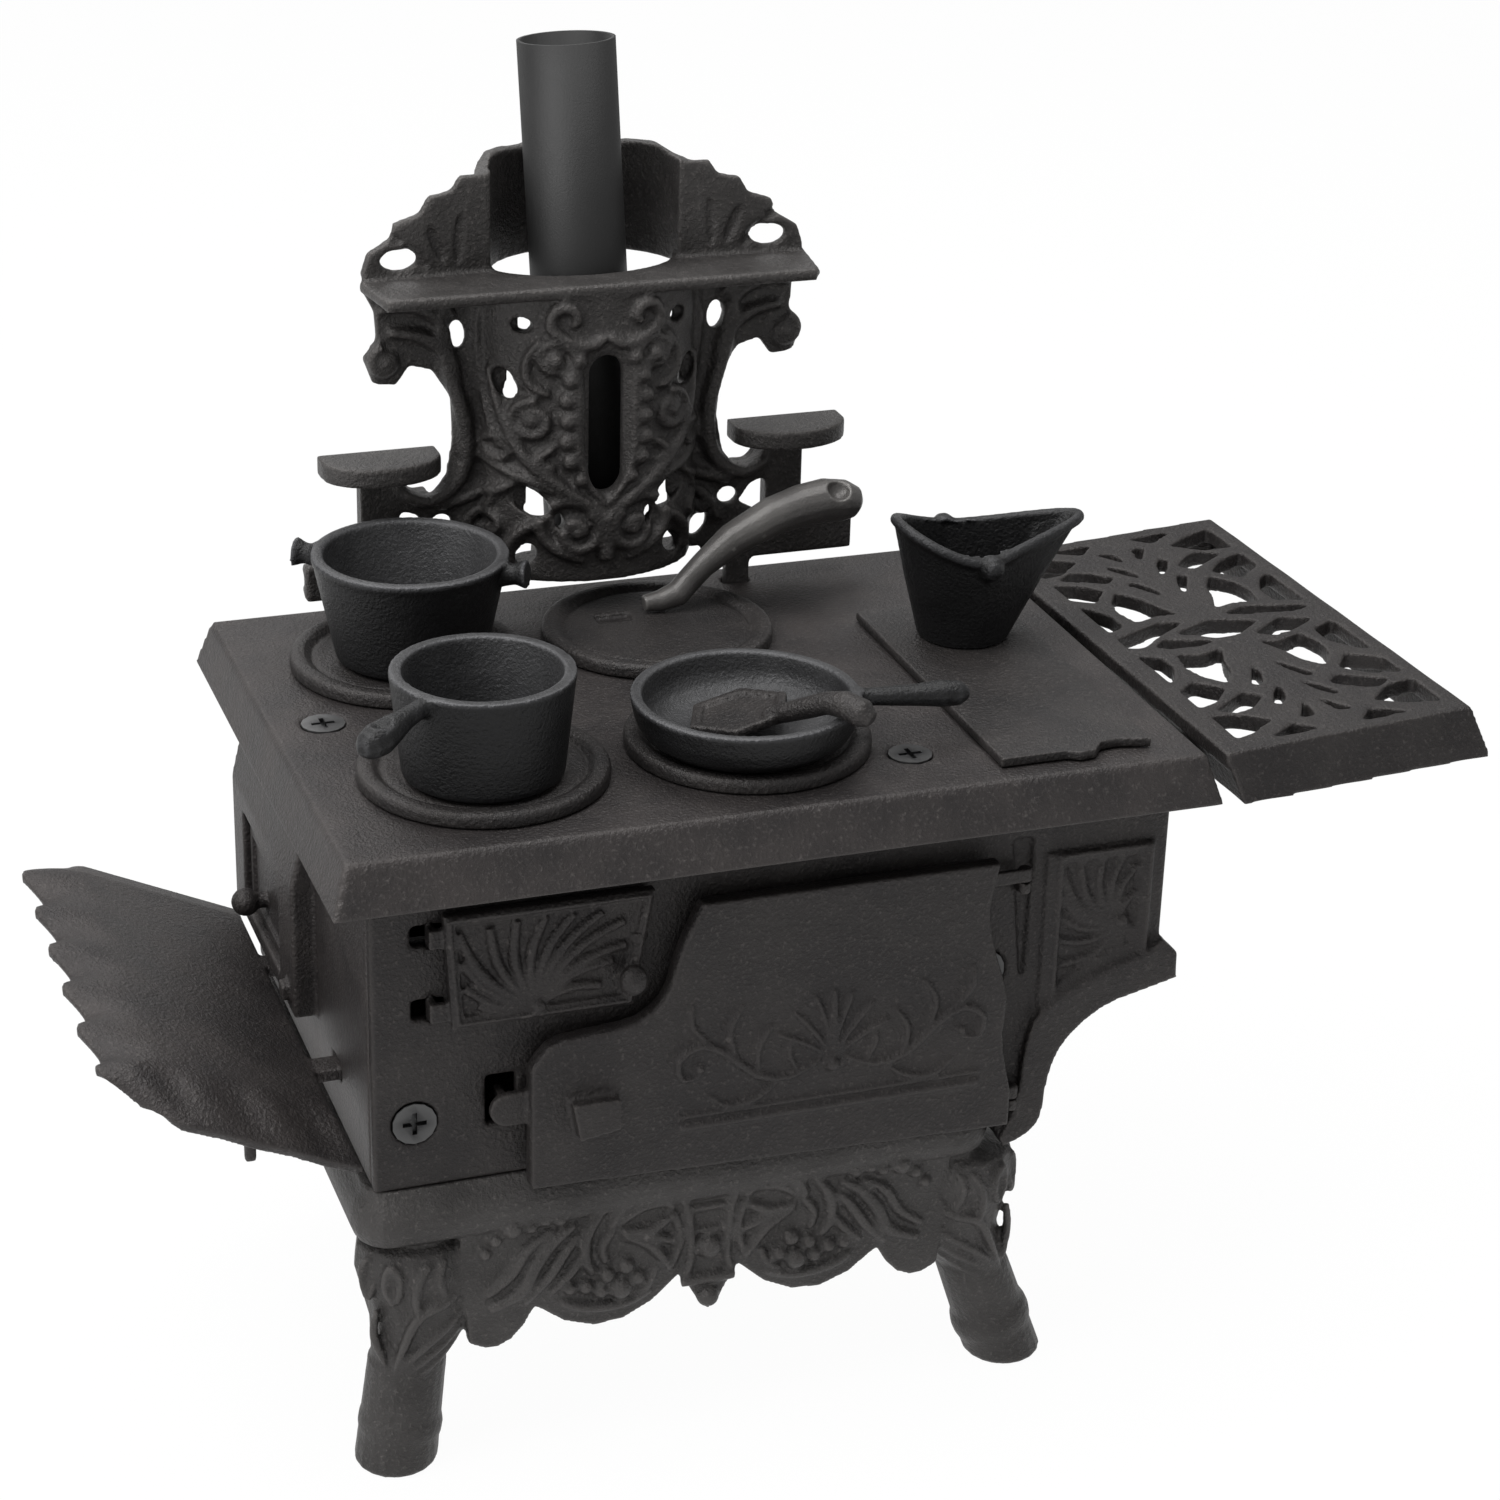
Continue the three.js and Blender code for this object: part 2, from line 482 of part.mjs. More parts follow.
function makeCooktop() {
  const geometry = new THREE.BoxGeometry(cooktop.length, cooktop.depth, cooktop.height);
  const spots = geometry.attributes.position;
  const narrow = [1 - 2 * cooktop.bevel / cooktop.length, 1 - 2 * cooktop.bevel / cooktop.depth];
  for (let k = 0; k < spots.count; k += 1) {
    if (spots.getZ(k) > 0) spots.setXY(k, spots.getX(k) * narrow[0], spots.getY(k) * narrow[1]);
  }
  geometry.translate(0, 0, cooktop.bottom + cooktop.height / 2);
  const inX = cooktop.length / 2 - cooktop.skirt;
  const inY = cooktop.depth / 2 - cooktop.skirt;
  const slope = cooktop.bevel * (cooktop.height - cooktop.plate) / cooktop.height;
  const hollow = skinned([
    roundedRing(-inX, -inY, inX, inY, cooktop.skirt, cooktop.bottom - cutOver, 1),
    roundedRing(-inX, -inY, inX, inY, cooktop.skirt, cooktop.bottom, 1),
    roundedRing(-inX + slope, -inY + slope, inX - slope, inY - slope, cooktop.skirt, topUnder, 1),
  ]);
  const neckHole = lidNeck + slideFit;
  const lidHoles = Object.values(lidSpots).map(([x, y]) => drum(
    [x, y, topUnder - cutOver], [x, y, topSurface + cutOver], neckHole, neckHole, fineRound));
  const coverCut = block(coverHole.left, coverHole.front, topUnder - cutOver,
    coverHole.right, coverHole.back, topSurface + cutOver);
  const pegHoles = [-1, 1].map((side) => {
    const x = panel.middle + side * peg.offset;
    const half = peg.width / 2 + seatGap;
    const deep = peg.depth / 2 + seatGap;
    return block(x - half, panel.plane - deep, topUnder - cutOver, x + half, panel.plane + deep,
      topSurface + cutOver);
  });
  const tongueSlots = tongueYs().map((y) => {
    const half = shelfTongue.width / 2 + shelfTongue.play;
    const low = tongueTop - shelfTongue.thick - slideFit;
    const high = tongueTop + shelfTongue.play;
    return block(inX - slope - cutOver, y - half, low, cooktop.length / 2 + cutOver, y + half, high);
  });
  return cut(solidFrom(geometry), hollow, ...lidHoles, coverCut, ...pegHoles, ...tongueSlots, ...screwHoles);
}

function tongueYs() {
  return [shelfCorner.y + shelfTongue.inset, shelfCorner.y + shelfDepth - shelfTongue.inset];
}

// Lids

const lidProfile = [[0, -lid.neckDepth], [lidNeck, -lid.neckDepth], [lidNeck, 0], [lidRadius, 0],
  [lidRadius, lid.edge], [lidRadius - lid.bevel, lid.ring], [lidRadius - lid.bevel - lid.ringWidth, lid.ring],
  [lidRadius - 2 * lid.bevel - lid.ringWidth, lid.face], [0, lid.face]];

function makeLid(name) {
  const [x, y] = lidSpots[name];
  const disc = turned(lidProfile, x, y, lidSeat);
  if (name !== 'lid_back_right') return disc;
  const slot = block(x - lifterSlot.inset, y + lifterSlot.width, lidFace - lid.face / 2,
    x - lifterSlot.inset + lifterSlot.length, y + 2 * lifterSlot.width, lidFace + cutOver);
  return cut(disc, slot);
}

// Reservoir cover

function makeCover() {
  const width = cover.right - cover.left;
  const edge = coverEdgeShares.map(([across, out]) => [
    cover.left + width * across,
    cover.front - out * (out > 0 ? coverPlate.bump : coverPlate.notch)]);
  const shape = shapeOf([...edge, [cover.right, cover.back], [cover.left, cover.back]]);
  const rimOut = [coverHole.left + slideFit, coverHole.front + slideFit,
    coverHole.right - slideFit, coverHole.back - slideFit];
  const seat = topSurface + seatGap;
  const low = seat - coverPlate.rimDepth;
  const rim = block(rimOut[0], rimOut[1], low, rimOut[2], rimOut[3], seat + coverPlate.thick / 2);
  const rimHollow = block(rimOut[0] + coverPlate.rim, rimOut[1] + coverPlate.rim, low - cutOver,
    rimOut[2] - coverPlate.rim, rimOut[3] - coverPlate.rim, seat);
  return join(lying(shape, coverPlate.thick, seat), cut(rim, rimHollow));
}

// The concave sweep under the reservoir end, from the heel to the tip, and the inner edge of its moulding

function sweepPath(inset = 0, steps = 16) {
  const point = ([across, up]) => new THREE.Vector2(
    sweepHeel + (sweepTip - sweepHeel) * across - inset * (1 - up),
    sweep.heelHeight + (sweep.tipLow - sweep.heelHeight) * up + inset * up);
  const curve = new THREE.SplineCurve([[0, 0], ...sweepShares, [1, 1]].map(point));
  return curve.getPoints(steps).map(({ x, y }) => [x, y]);
}

function mouldingEdge(steps = 10) {
  const left = body.right - moulding.innerIn;
  const right = body.right - moulding.rightIn;
  const curve = new THREE.SplineCurve(mouldingShares.map(([across, up]) => new THREE.Vector2(
    left + (right - left) * across,
    moulding.innerLow + (moulding.innerTop - moulding.innerLow) * up)));
  return [[right, moulding.innerTop], ...curve.getPoints(steps).reverse().map(({ x, y }) => [x, y]),
    [left, moulding.innerLow]];
}

function sideOutline(top, bottomLeft) {
  return [[body.left, bottomLeft], [partition, bottomLeft], [partition, sweep.heelHeight + wall],
    ...sweepPath(), [sweepTip - seatGap, sweep.tipHigh], [body.right, sweep.lip], [body.right, top],
    [body.left, top]];
}

function makeFrontPanel() {
  const plate = upright(shapeOf(sideOutline(bodyTop, body.bottom + seatGap)), wall, frontBack);
  const band = upright(shapeOf([...sweepPath(), [sweepTip - seatGap, sweep.tipHigh], [body.right, sweep.lip],
    ...mouldingEdge()]), wall + moulding.proud, frontBack);
  const frameShape = reliefOutline(new THREE.Shape(), 0);
  frameShape.holes.push(reliefOutline(new THREE.Path(), reliefFrame.rail));
  const frame = upright(frameShape, wall / 2 + reliefFrame.proud, body.front + wall / 2);
  const grooveCut = upright(shapeOf([[body.right - groove.leftIn, groove.top],
    [body.right - groove.tipIn, groove.bottom],
    [body.right - groove.rightIn, groove.top]]), groove.depth + cutOver, body.front + groove.depth);
  const mouthLeft = fireLeft + fireMouth.left;
  const mouthRight = fireRight - fireMouth.right;
  const mouthLow = fireDoor.bottom + fireMouth.bottom;
  const mouthTop = fireDoor.top - fireMouth.top;
  const fireHole = upright(shapeOf([[mouthLeft, mouthLow], [mouthRight - wall, mouthLow],
    [mouthRight, mouthTop], [mouthLeft, mouthTop]]), wall + 2 * cutOver, frontBack + cutOver);
  const ovenHole = upright(ovenShape(ovenLeft + mouthInset.left, ovenRight - mouthInset.right,
    ovenDoor.bottom + mouthInset.bottom, ovenDoor.top - mouthInset.top), wall + 2 * cutOver, frontBack + cutOver);
  const keeperSlot = block(latchX - keeper.left, body.front - cutOver, latchZ - keeper.low,
    latchX + keeper.right, frontBack + cutOver, latchZ + keeper.high);
  const slots = fireHingeZs.flatMap((z) => hingeSlot(fireHingeX, z));
  const lugs = ovenHingeZs.map((z) => {
    const top = z - seatGap;
    const low = top - ovenHinge.lug;
    const round = drum([ovenHingeX, ovenHingeY, low], [ovenHingeX, ovenHingeY, top], ovenHinge.radius);
    const root = block(ovenHingeX - ovenHinge.radius, ovenHingeY, low,
      ovenHingeX + ovenHinge.radius, frontBack - wall / 3, top);
    const bore = drum([ovenHingeX, ovenHingeY, top - ovenHinge.pin - seatGap],
      [ovenHingeX, ovenHingeY, top + cutOver], hinge.pin + seatGap);
    return cut(join(round, root), bore);
  });
  return join(cut(join(plate, band, frame), grooveCut, fireHole, ovenHole, keeperSlot, ...slots,
    ...screwHoles), ...lugs);
}

// The leaf frame follows the sweep along its lower edge
function reliefOutline(path, inset) {
  const left = body.right - reliefFrame.leftIn + inset;
  const right = body.right - reliefFrame.rightIn - inset;
  const top = reliefFrame.top - inset;
  const low = reliefFrame.low + inset * 2;
  const lowRight = reliefFrame.lowRight + inset;
  path.moveTo(left, low);
  path.quadraticCurveTo(left + (right - left) / 3, lowRight - inset, right, lowRight);
  path.lineTo(right, top);
  path.lineTo(left + inset / 2, top);
  path.lineTo(left, low);
  return path;
}

// The oven door and its mouth share one outline: a step at the upper left in an S curve
function ovenShape(left, right, bottom, top) {
  const at = ([across, up]) => new THREE.Vector2(left + (right - left) * across,
    bottom + (top - bottom) * up);
  const shape = new THREE.Shape();
  shape.moveTo(left, at([0, ovenShares.lowLeft]).y);
  shape.lineTo(left, at(ovenShares.curve[0]).y);
  shape.splineThru([...ovenShares.curve.slice(1), ovenShares.corner].map(at));
  const corner = at([ovenShares.topRight, 1]);
  shape.lineTo(corner.x, corner.y);
  shape.splineThru([...ovenShares.edge, [1, 0]].map(at));
  return shape;
}

// A window in the panel with a pocket above and below for the trunnions of a hinge
function hingeSlot(x, z) {
  const half = hinge.barrel / 2;
  const y = body.front + hinge.inside;
  const pocket = hinge.pin + seatGap;
  const tall = half + hinge.pocket + seatGap;
  return [
    block(x - hinge.slotLeft, body.front - cutOver, z - half - seatGap,
      x + hinge.slotRight, frontBack + cutOver, z + half + seatGap),
    drum([x, y, z - tall], [x, y, z + tall], pocket),
  ];
}

// The knuckle of a door: a barrel with trunnions and a bent arm out to the back of the door
function knuckle(x, z, doorX, doorBack) {
  const half = hinge.barrel / 2;
  const y = body.front + hinge.inside;
  const tall = half + hinge.pocket;
  const pin = drum([x, y, z - tall], [x, y, z + tall], hinge.pin);
  const armShape = shapeOf([[x - hinge.lean, y + hinge.lean / 2], [x + hinge.lean, y + hinge.lean / 2],
    [x + hinge.lean, doorBack], [doorX, doorBack], [doorX, doorBack - hinge.arm],
    [x - hinge.lean, doorBack - hinge.arm]]);
  return join(pin, lying(armShape, hinge.barrel, z - half));
}

// Fire door

function makeFireDoor() {
  const back = body.front - doorGap;
  const front = back - fireDoor.thick;
  const outline = (inset) => [[fireLowLeft + inset, fireDoor.bottom + inset],
    [fireLowRight - inset, fireDoor.bottom + inset], [fireRight - inset, fireDoor.top - inset],
    [fireLeft + inset, fireDoor.top - inset]];
  const plate = upright(shapeOf(outline(0)), fireDoor.thick, back);
  const sunk = upright(shapeOf(outline(fireDoor.rail)), fireDoor.sunk + cutOver, front + fireDoor.sunk);
  const out = front - fireDoor.stand;
  const knobX = fireLowRight - fireDoor.knobIn;
  const knobZ = fireDoor.bottom + fireDoor.knobUp;
  const stem = drum([knobX, back - fireDoor.thick / 2, knobZ], [knobX, out, knobZ], fireDoor.stem);
  const knob = drum([knobX, out + fireDoor.stand / 2, knobZ], [knobX, out, knobZ],
    fireDoor.knob, fireDoor.knob - seatGap);
  const knuckles = fireHingeZs.map((z) => knuckle(
    fireHingeX, z, fireLowLeft + hinge.arm / 2, back));
  return join(cut(plate, sunk), stem, knob, ...knuckles);
}

// Oven door

function makeOvenDoor() {
  const back = body.front - ovenDoor.proud;
  const front = back - ovenDoor.thick;
  const round = ovenDoor.thick * ovenShares.round;
  const geometry = new THREE.ExtrudeGeometry(ovenShape(ovenLeft, ovenRight, ovenDoor.bottom, ovenDoor.top), {
    depth: ovenDoor.thick,
    bevelEnabled: true,
    bevelThickness: round,
    bevelSize: ovenDoor.bevel,
    bevelSegments: 2,
    curveSegments: 2,
  });
  geometry.rotateX(Math.PI / 2);
  geometry.translate(0, back + ovenDoor.thick - round, 0);
  const keepLeft = ovenLeft - 2 * ovenDoor.bevel;
  const keep = upright(shapeOf([[keepLeft, ovenDoor.bottom + ovenDoor.bevel * ovenShares.lowCut],
    [ovenRight, ovenDoor.bottom], [ovenRight, ovenDoor.top],
    [keepLeft, ovenDoor.top]]), ovenDoor.thick, back);
  const plate = solidFrom(geometry).intersect(keep);
  const tongue = drum([latchX, back, latchZ], [latchX, back - latch.thick, latchZ], latch.radius);
  const tongueRoot = block(latchX, back - latch.thick, latchZ - latch.radius,
    ovenLeft + latch.thick, back, latchZ + latch.radius);
  const bolt = block(latchX - hinge.lean, back - latch.thick / 2, latchZ - latch.radius / 2,
    latchX + hinge.lean, back + latch.reach, latchZ + latch.radius / 2);
  const gripX = ovenLeft + handle.inset;
  const grip = upright(shapeOf([[gripX - handle.width / 2, handleZ + handle.tall / 2],
    [gripX - handle.narrow / 2, handleZ - handle.tall / 2],
    [gripX + handle.width / 2, handleZ - handle.tall / 3],
    [gripX + handle.width / 2, handleZ + handle.tall / 2]]), handle.proud + latch.thick, front + latch.thick);
  const ears = ovenHingeZs.flatMap((z) => [
    drum([ovenHingeX, ovenHingeY, z], [ovenHingeX, ovenHingeY, z + ovenHinge.ear], ovenHinge.radius),
    drum([ovenHingeX, ovenHingeY, z - ovenHinge.pin],
      [ovenHingeX, ovenHingeY, z + ovenHinge.ear / 2], hinge.pin),
    block(ovenDoorEdge(z) - hinge.arm, back - hinge.arm, z, ovenHingeX, back, z + ovenHinge.ear),
  ]);
  return join(plate, tongue, tongueRoot, bolt, grip, ...ears);
}

// How far right the wavy edge of the oven door lies at a height
function ovenDoorEdge(z) {
  const share = (z - ovenDoor.bottom) / (ovenDoor.top - ovenDoor.bottom);
  const [nearest] = ovenShares.edge.reduce((best, spot) => (
    Math.abs(spot[1] - share) < Math.abs(best[1] - share) ? spot : best));
  return ovenLeft + (ovenRight - ovenLeft) * nearest - ovenDoor.bevel;
}

// Back panel, left end and reservoir

function makeBackPanel() {
  const plate = upright(shapeOf(sideOutline(bodyTop, body.bottom + seatGap)), wall, body.back);
  return cut(plate, ...screwHoles);
}

function makeReservoir() {
  const high = sweepPath(tank.sweepWall).filter(([x]) => x > partition + wall && x < body.right - wall - cutOver)
    .reverse();
  const profile = [[partition, sweep.heelHeight + wall], ...sweepPath(), [sweepTip - seatGap, sweep.tipHigh],
    [body.right, sweep.lip], [body.right, bodyTop], [body.right - wall, bodyTop],
    [body.right - wall, sweep.lip - wall], ...high, [partition + wall, bodyTop], [partition, bodyTop]];
  const trough = upright(shapeOf(profile), insideDepth, insideBack);
  const bosses = [[insideFront, insideFront + boss.length],
    [insideBack - boss.length, insideBack]].map(([y0, y1]) => {
    const [x, z] = rightScrew;
    return block(x - boss.radius, y0, z - boss.radius, partition + wall / 2, y1, z + boss.radius);
  });
  return cut(join(trough, ...bosses), ...screwHoles);
}

function makeLeftEnd() {
  const plate = block(body.left, insideFront, body.bottom + seatGap, leftInner, insideBack, bodyTop);
  const outX = body.left - endFrame.proud;
  const frame = block(outX, frameNear, endFrame.bottom, body.left + wall / 2, frameFar, endFrame.top);
  const hoodProfile = shapeOf([[body.left + wall / 2, endFrame.top - wall], [outX, endFrame.top - wall],
    [outX, endFrame.top + wall / 2], [body.left - seatGap, endFrame.hoodTop],
    [body.left + wall / 2, endFrame.hoodTop]]);
  const hood = upright(hoodProfile, frameFar - frameNear, frameFar);
  const mouth = block(outX - cutOver, mouthNear, endMouth.bottom, leftInner + cutOver, mouthFar,
    endMouth.top);
  const axisX = flapAxisX();
  const pocket = drum([axisX, mouthNear - hinge.pocket - seatGap, flapAxisZ()],
    [axisX, mouthFar + hinge.pocket + seatGap, flapAxisZ()], hinge.pin + seatGap);
  const backRelief = block(body.left - seatGap, insideBack, body.bottom, leftInner, body.back + cutOver,
    bodyTop);
  const catchLug = block(outX - latch.thick, frameNear + latch.thick, endFrame.bottom + latch.radius,
    body.left, frameNear + latch.thick * 3, endFrame.bottom + latch.radius * 2);
  const hookSlots = [-1, 1].map((side) => {
    const y = side * hearthHook.spread;
    const half = hearthHook.width / 2 + hearthHook.play;
    return block(body.left - cutOver, y - half, hearth.z - hearthHook.thick - seatGap,
      leftInner + cutOver, y + half, hearth.z + hearthHook.play);
  });
  const [topX, topY] = screwSpots.cooktop_screw_left[1];
  const topBoss = block(leftInner - wall / 2, topY - boss.radius, bodyTop - boss.length,
    topX + boss.radius, topY + boss.radius, bodyTop);
  const sideBosses = [[insideFront, insideFront + boss.length],
    [insideBack - boss.length, insideBack]].map(([y0, y1]) => {
    const [x, z] = leftScrew;
    return block(leftInner - wall / 2, y0, z - boss.radius, x + boss.radius, y1, z + boss.radius);
  });
  return cut(join(plate, frame, hood, catchLug, topBoss, ...sideBosses),
    mouth, pocket, backRelief, ...hookSlots, ...screwHoles);
}

// End flap, hung by two trunnions under the top of the frame

function flapAxisX() {
  return body.left - endFrame.proud / 2;
}

function flapAxisZ() {
  return endMouth.top - flap.hang;
}

function makeEndFlap() {
  const axisX = flapAxisX();
  const front = axisX - flap.thick / 2;
  const near = mouthNear + seatGap;
  const far = mouthFar - seatGap;
  const low = endMouth.bottom + seatGap;
  const plate = block(front, near, low, front + flap.thick, far, flapAxisZ());
  const roll = drum([axisX, near, flapAxisZ()], [axisX, far, flapAxisZ()], flap.thick / 2);
  const pins = drum([axisX, near - hinge.pocket, flapAxisZ()], [axisX, far + hinge.pocket, flapAxisZ()],
    hinge.pin);
  const sunk = block(front - cutOver, near + flap.rail, low + flap.rail, front + flap.sunk,
    far - flap.rail, flapAxisZ() - flap.rail);
  const knobY = near + (far - near) * flapKnobShares.along;
  const knobZ = low + (flapAxisZ() - low) * flapKnobShares.up;
  const stem = drum([front + flap.thick / 2, knobY, knobZ], [front - flap.knobStand, knobY, knobZ],
    flap.knobNeck);
  return join(cut(plate, sunk), roll, pins, stem,
    ball(front - flap.knobStand - flap.knobNeck / 2, knobY, knobZ, flap.knob));
}

// Hearth: the outer and near edges droop in ruffles

function hearthHeight(out, along) {
  const outShare = Math.max(0, (out - hearthShares.outEdge) / (1 - hearthShares.outEdge));
  const nearShare = Math.max(0, (hearthShares.nearEdge - along) / hearthShares.nearEdge);
  const farShare = Math.max(0, (along - hearthShares.farEdge) / (1 - hearthShares.farEdge));
  const outRuffle = outShare * Math.cos(2 * Math.PI * hearthWaves.out * along);
  const nearRuffle = nearShare * Math.cos(2 * Math.PI * hearthWaves.near * out);
  const droop = Math.hypot(hearth.curl * outShare ** hearthWaves.outPower,
    hearth.drop * nearShare ** hearthWaves.nearPower);
  return -droop - hearth.ruffle * farShare + hearth.ruffle * (outRuffle + nearRuffle);
}

function hearthPoint(out, along, lift) {
  const scallopShare = Math.max(0, (out - hearthShares.scallopEdge) / (1 - hearthShares.scallopEdge));
  const scallop = Math.abs(Math.sin(Math.PI * hearthWaves.out * along)) * hearth.ruffle * scallopShare;
  const reach = hearth.length * out + scallop;
  const tall = hearthHeight(out, along) + lift;
  const rise = radians(hearth.rise);
  return new THREE.Vector3(
    hearthX - reach * Math.cos(rise) - tall * Math.sin(rise),
    hearthNear + (hearthFar - hearthNear) * along,
    hearth.z + reach * Math.sin(rise) + tall * Math.cos(rise));
}

function makeHearth() {
  const outShares = [0, 0.35, 0.7, 0.79, 0.87, 0.94, 1];
  const alongShares = [0, 0.03, 0.06, 0.09, 0.12];
  for (let k = 4; k <= 30; k += 1) alongShares.push(k / 30);
  const rings = alongShares.map((along) => [
    ...outShares.map((out) => hearthPoint(out, along, 0)),
    ...outShares.map((out) => hearthPoint(out, along, -hearth.thick)).reverse(),
  ]);
  const plate = skinned(rings);
  const hooks = [-1, 1].flatMap((side) => {
    const y0 = side * hearthHook.spread - hearthHook.width / 2;
    const y1 = y0 + hearthHook.width;
    const inX = hearthX + hearthHook.reach;
    const low = hearth.z - hearthHook.thick;
    return [
      block(hearthX - hearthHook.thick, y0, low, inX, y1, hearth.z),
      block(inX - hearthHook.toeThick, y0, low - hearthHook.toe, inX, y1, hearth.z),
    ];
  });
  const under = hearthPoint(hearthLeg.out / hearth.length, hearthShares.prop, -hearth.thick);
  const propY = hearthNear + hearthLeg.nearIn;
  const prop = block(under.x - hearthLeg.width / 2, propY, under.z - hearthLeg.drop,
    under.x + hearthLeg.width / 2, propY + hearthLeg.thick, under.z + hearth.thick / 2);
  return join(plate, ...hooks, prop);
}

// Side shelf: frame, skirt, and a pattern of crossed diagonals, arcs and a ring

function bar(from, to, width) {
  const run = new THREE.Vector2(to[0] - from[0], to[1] - from[1]);
  const side = new THREE.Vector2(-run.y, run.x).setLength(width / 2);
  return lying(shapeOf([[from[0] - side.x, from[1] - side.y], [to[0] - side.x, to[1] - side.y],
    [to[0] + side.x, to[1] + side.y], [from[0] + side.x, from[1] + side.y]]), shelf.thick, -shelf.thick);
}

function arcBar(cx, cy, radius, startTurn, endTurn, width, segments = 7) {
  const shape = new THREE.Shape();
  shape.absarc(cx, cy, radius + width / 2, radians(startTurn), radians(endTurn), false);
  shape.absarc(cx, cy, radius - width / 2, radians(endTurn), radians(startTurn), true);
  return lying(shape, shelf.thick, -shelf.thick, segments);
}

function makeSideShelf() {
  const { width, border, thick } = shelf;
  const depth = shelfDepth;
  const skirt = cooktop.height;
  const out = cooktop.bevel;
  const shell = skinned([
    [[shelf.nest, -out], [width + out, -out], [width + out, depth + out], [shelf.nest, depth + out]]
      .map(([x, y]) => new THREE.Vector3(x, y, -skirt)),
    [[0, 0], [width, 0], [width, depth], [0, depth]].map(([x, y]) => new THREE.Vector3(x, y, 0)),
  ]);
  const hollow = block(wall + shelf.nest, wall, -skirt - cutOver, width - wall / 2, depth - wall, -thick);
  const window = block(border, border, -skirt, width - border, depth - border, cutOver);
  const mid = [width / 2, depth / 2];
  const in0 = border - shelf.bar / 2;
  const farX = width - in0;
  const farY = depth - in0;
  const quarter = depth / 4;
  const diagonals = [
    [[in0, in0], [farX, mid[1]]], [[farX, in0], [in0, mid[1]]],
    [[in0, mid[1]], [farX, farY]], [[farX, mid[1]], [in0, farY]],
    [[mid[0], in0], [in0, quarter]], [[mid[0], in0], [farX, quarter]],
    [[mid[0], farY], [in0, depth - quarter]], [[mid[0], farY], [farX, depth - quarter]],
    [[in0, quarter], [mid[0], mid[1]]], [[farX, quarter], [mid[0], mid[1]]],
    [[in0, depth - quarter], [mid[0], mid[1]]], [[farX, depth - quarter], [mid[0], mid[1]]],
  ].map(([from, to]) => bar(from, to, shelf.bar));
  const round = width / 4;
  const arcs = [
    arcBar(in0, mid[1], round, -90, 90, shelf.bar), arcBar(farX, mid[1], round, 90, 270, shelf.bar),
    arcBar(in0, in0, round, 0, 90, shelf.bar), arcBar(farX, in0, round, 90, 180, shelf.bar),
    arcBar(in0, farY, round, 270, 360, shelf.bar), arcBar(farX, farY, round, 180, 270, shelf.bar),
  ];
  const tongues = tongueYs().map((y) => {
    const setBack = (y - shelfCorner.y) * Math.tan(radians(shelf.yaw));
    const root = shelfCorner.x + shelf.nest + shelfTongue.thick - setBack;
    const y0 = y - shelfTongue.width / 2;
    const y1 = y + shelfTongue.width / 2;
    const low = tongueTop - shelfTongue.thick;
    return join(block(tongueTip, y0, low, root, y1, tongueTop),
      block(tongueTip, y0, low - shelfTongue.toe, tongueTip + shelfTongue.thick, y1, low));
  });
  const grille = join(cut(shell, hollow, window), ...diagonals, ...arcs);
  const placed = grille.rotate([0, -shelf.tilt, shelf.yaw]).translate([shelfCorner.x, shelfCorner.y,
    shelfCorner.z]);
  return join(placed, ...tongues);
}

// Base

function levelRing({ x, y, z, rx, ry }, sides) {
  return Array.from({ length: sides }, (_, k) => {
    const angle = 2 * Math.PI * k / sides;
    return new THREE.Vector3(x + rx * Math.cos(angle), y + ry * Math.sin(angle), z);
  });
}

function legSolid(side, place) {
  const footX = place[side];
  const inward = side === 'left' ? 1 : -1;
  const setIn = footX - feet.front[side];
  const topX = (side === 'left' ? base.left + leg.kneeLeftIn : base.right - leg.kneeRightIn) + setIn / 2;
  const topY = place === feet.back ? base.back - leg.inset : base.front + leg.inset;
  const capX = side === 'left' ? topX : base.right - leg.drumIn + setIn / 2;
  const ankleX = THREE.MathUtils.lerp(topX, footX, legShares.ankle);
  const sections = [
    { z: leg.footTop, x: ankleX, y: topY, rx: leg.ankle, ry: leg.ankle },
    { z: leg.footTop + 4 * wall, x: topX + inward * wall / 2, y: topY,
      rx: leg.knee * legShares.calf[0], ry: leg.kneeDepth * legShares.calf[1] },
    { z: base.bottom - 3 * wall, x: topX + inward * seatGap, y: topY, rx: leg.knee, ry: leg.kneeDepth },
    {
      z: base.bottom - wall,
      x: topX,
      y: topY,
      rx: leg.knee * legShares.top,
      ry: leg.kneeDepth * legShares.top,
    },
    { z: base.bottom - seatGap, x: capX, y: topY, rx: leg.drum, ry: leg.drum },
  ];
  const shin = skinned(sections.map((section) => levelRing(section, legSides.shin)));
  const footRing = (x, y, z, radius) => levelRing({ x, y, z, rx: radius, ry: radius }, legSides.foot);
  const foot = skinned([
    footRing(footX, place.y, 0, leg.foot - wall / 3),
    footRing(footX, place.y, wall / 3, leg.foot),
    footRing(ankleX, topY, leg.footTop, leg.foot * legShares.footTop),
    footRing(ankleX, topY, leg.footTop + wall, leg.ankle * legShares.neck),
  ]);
  const cap = drum([capX, topY, base.bottom - wall], [capX, topY, leg.drumTop], leg.drum);
  return join(shin, foot, cap);
}

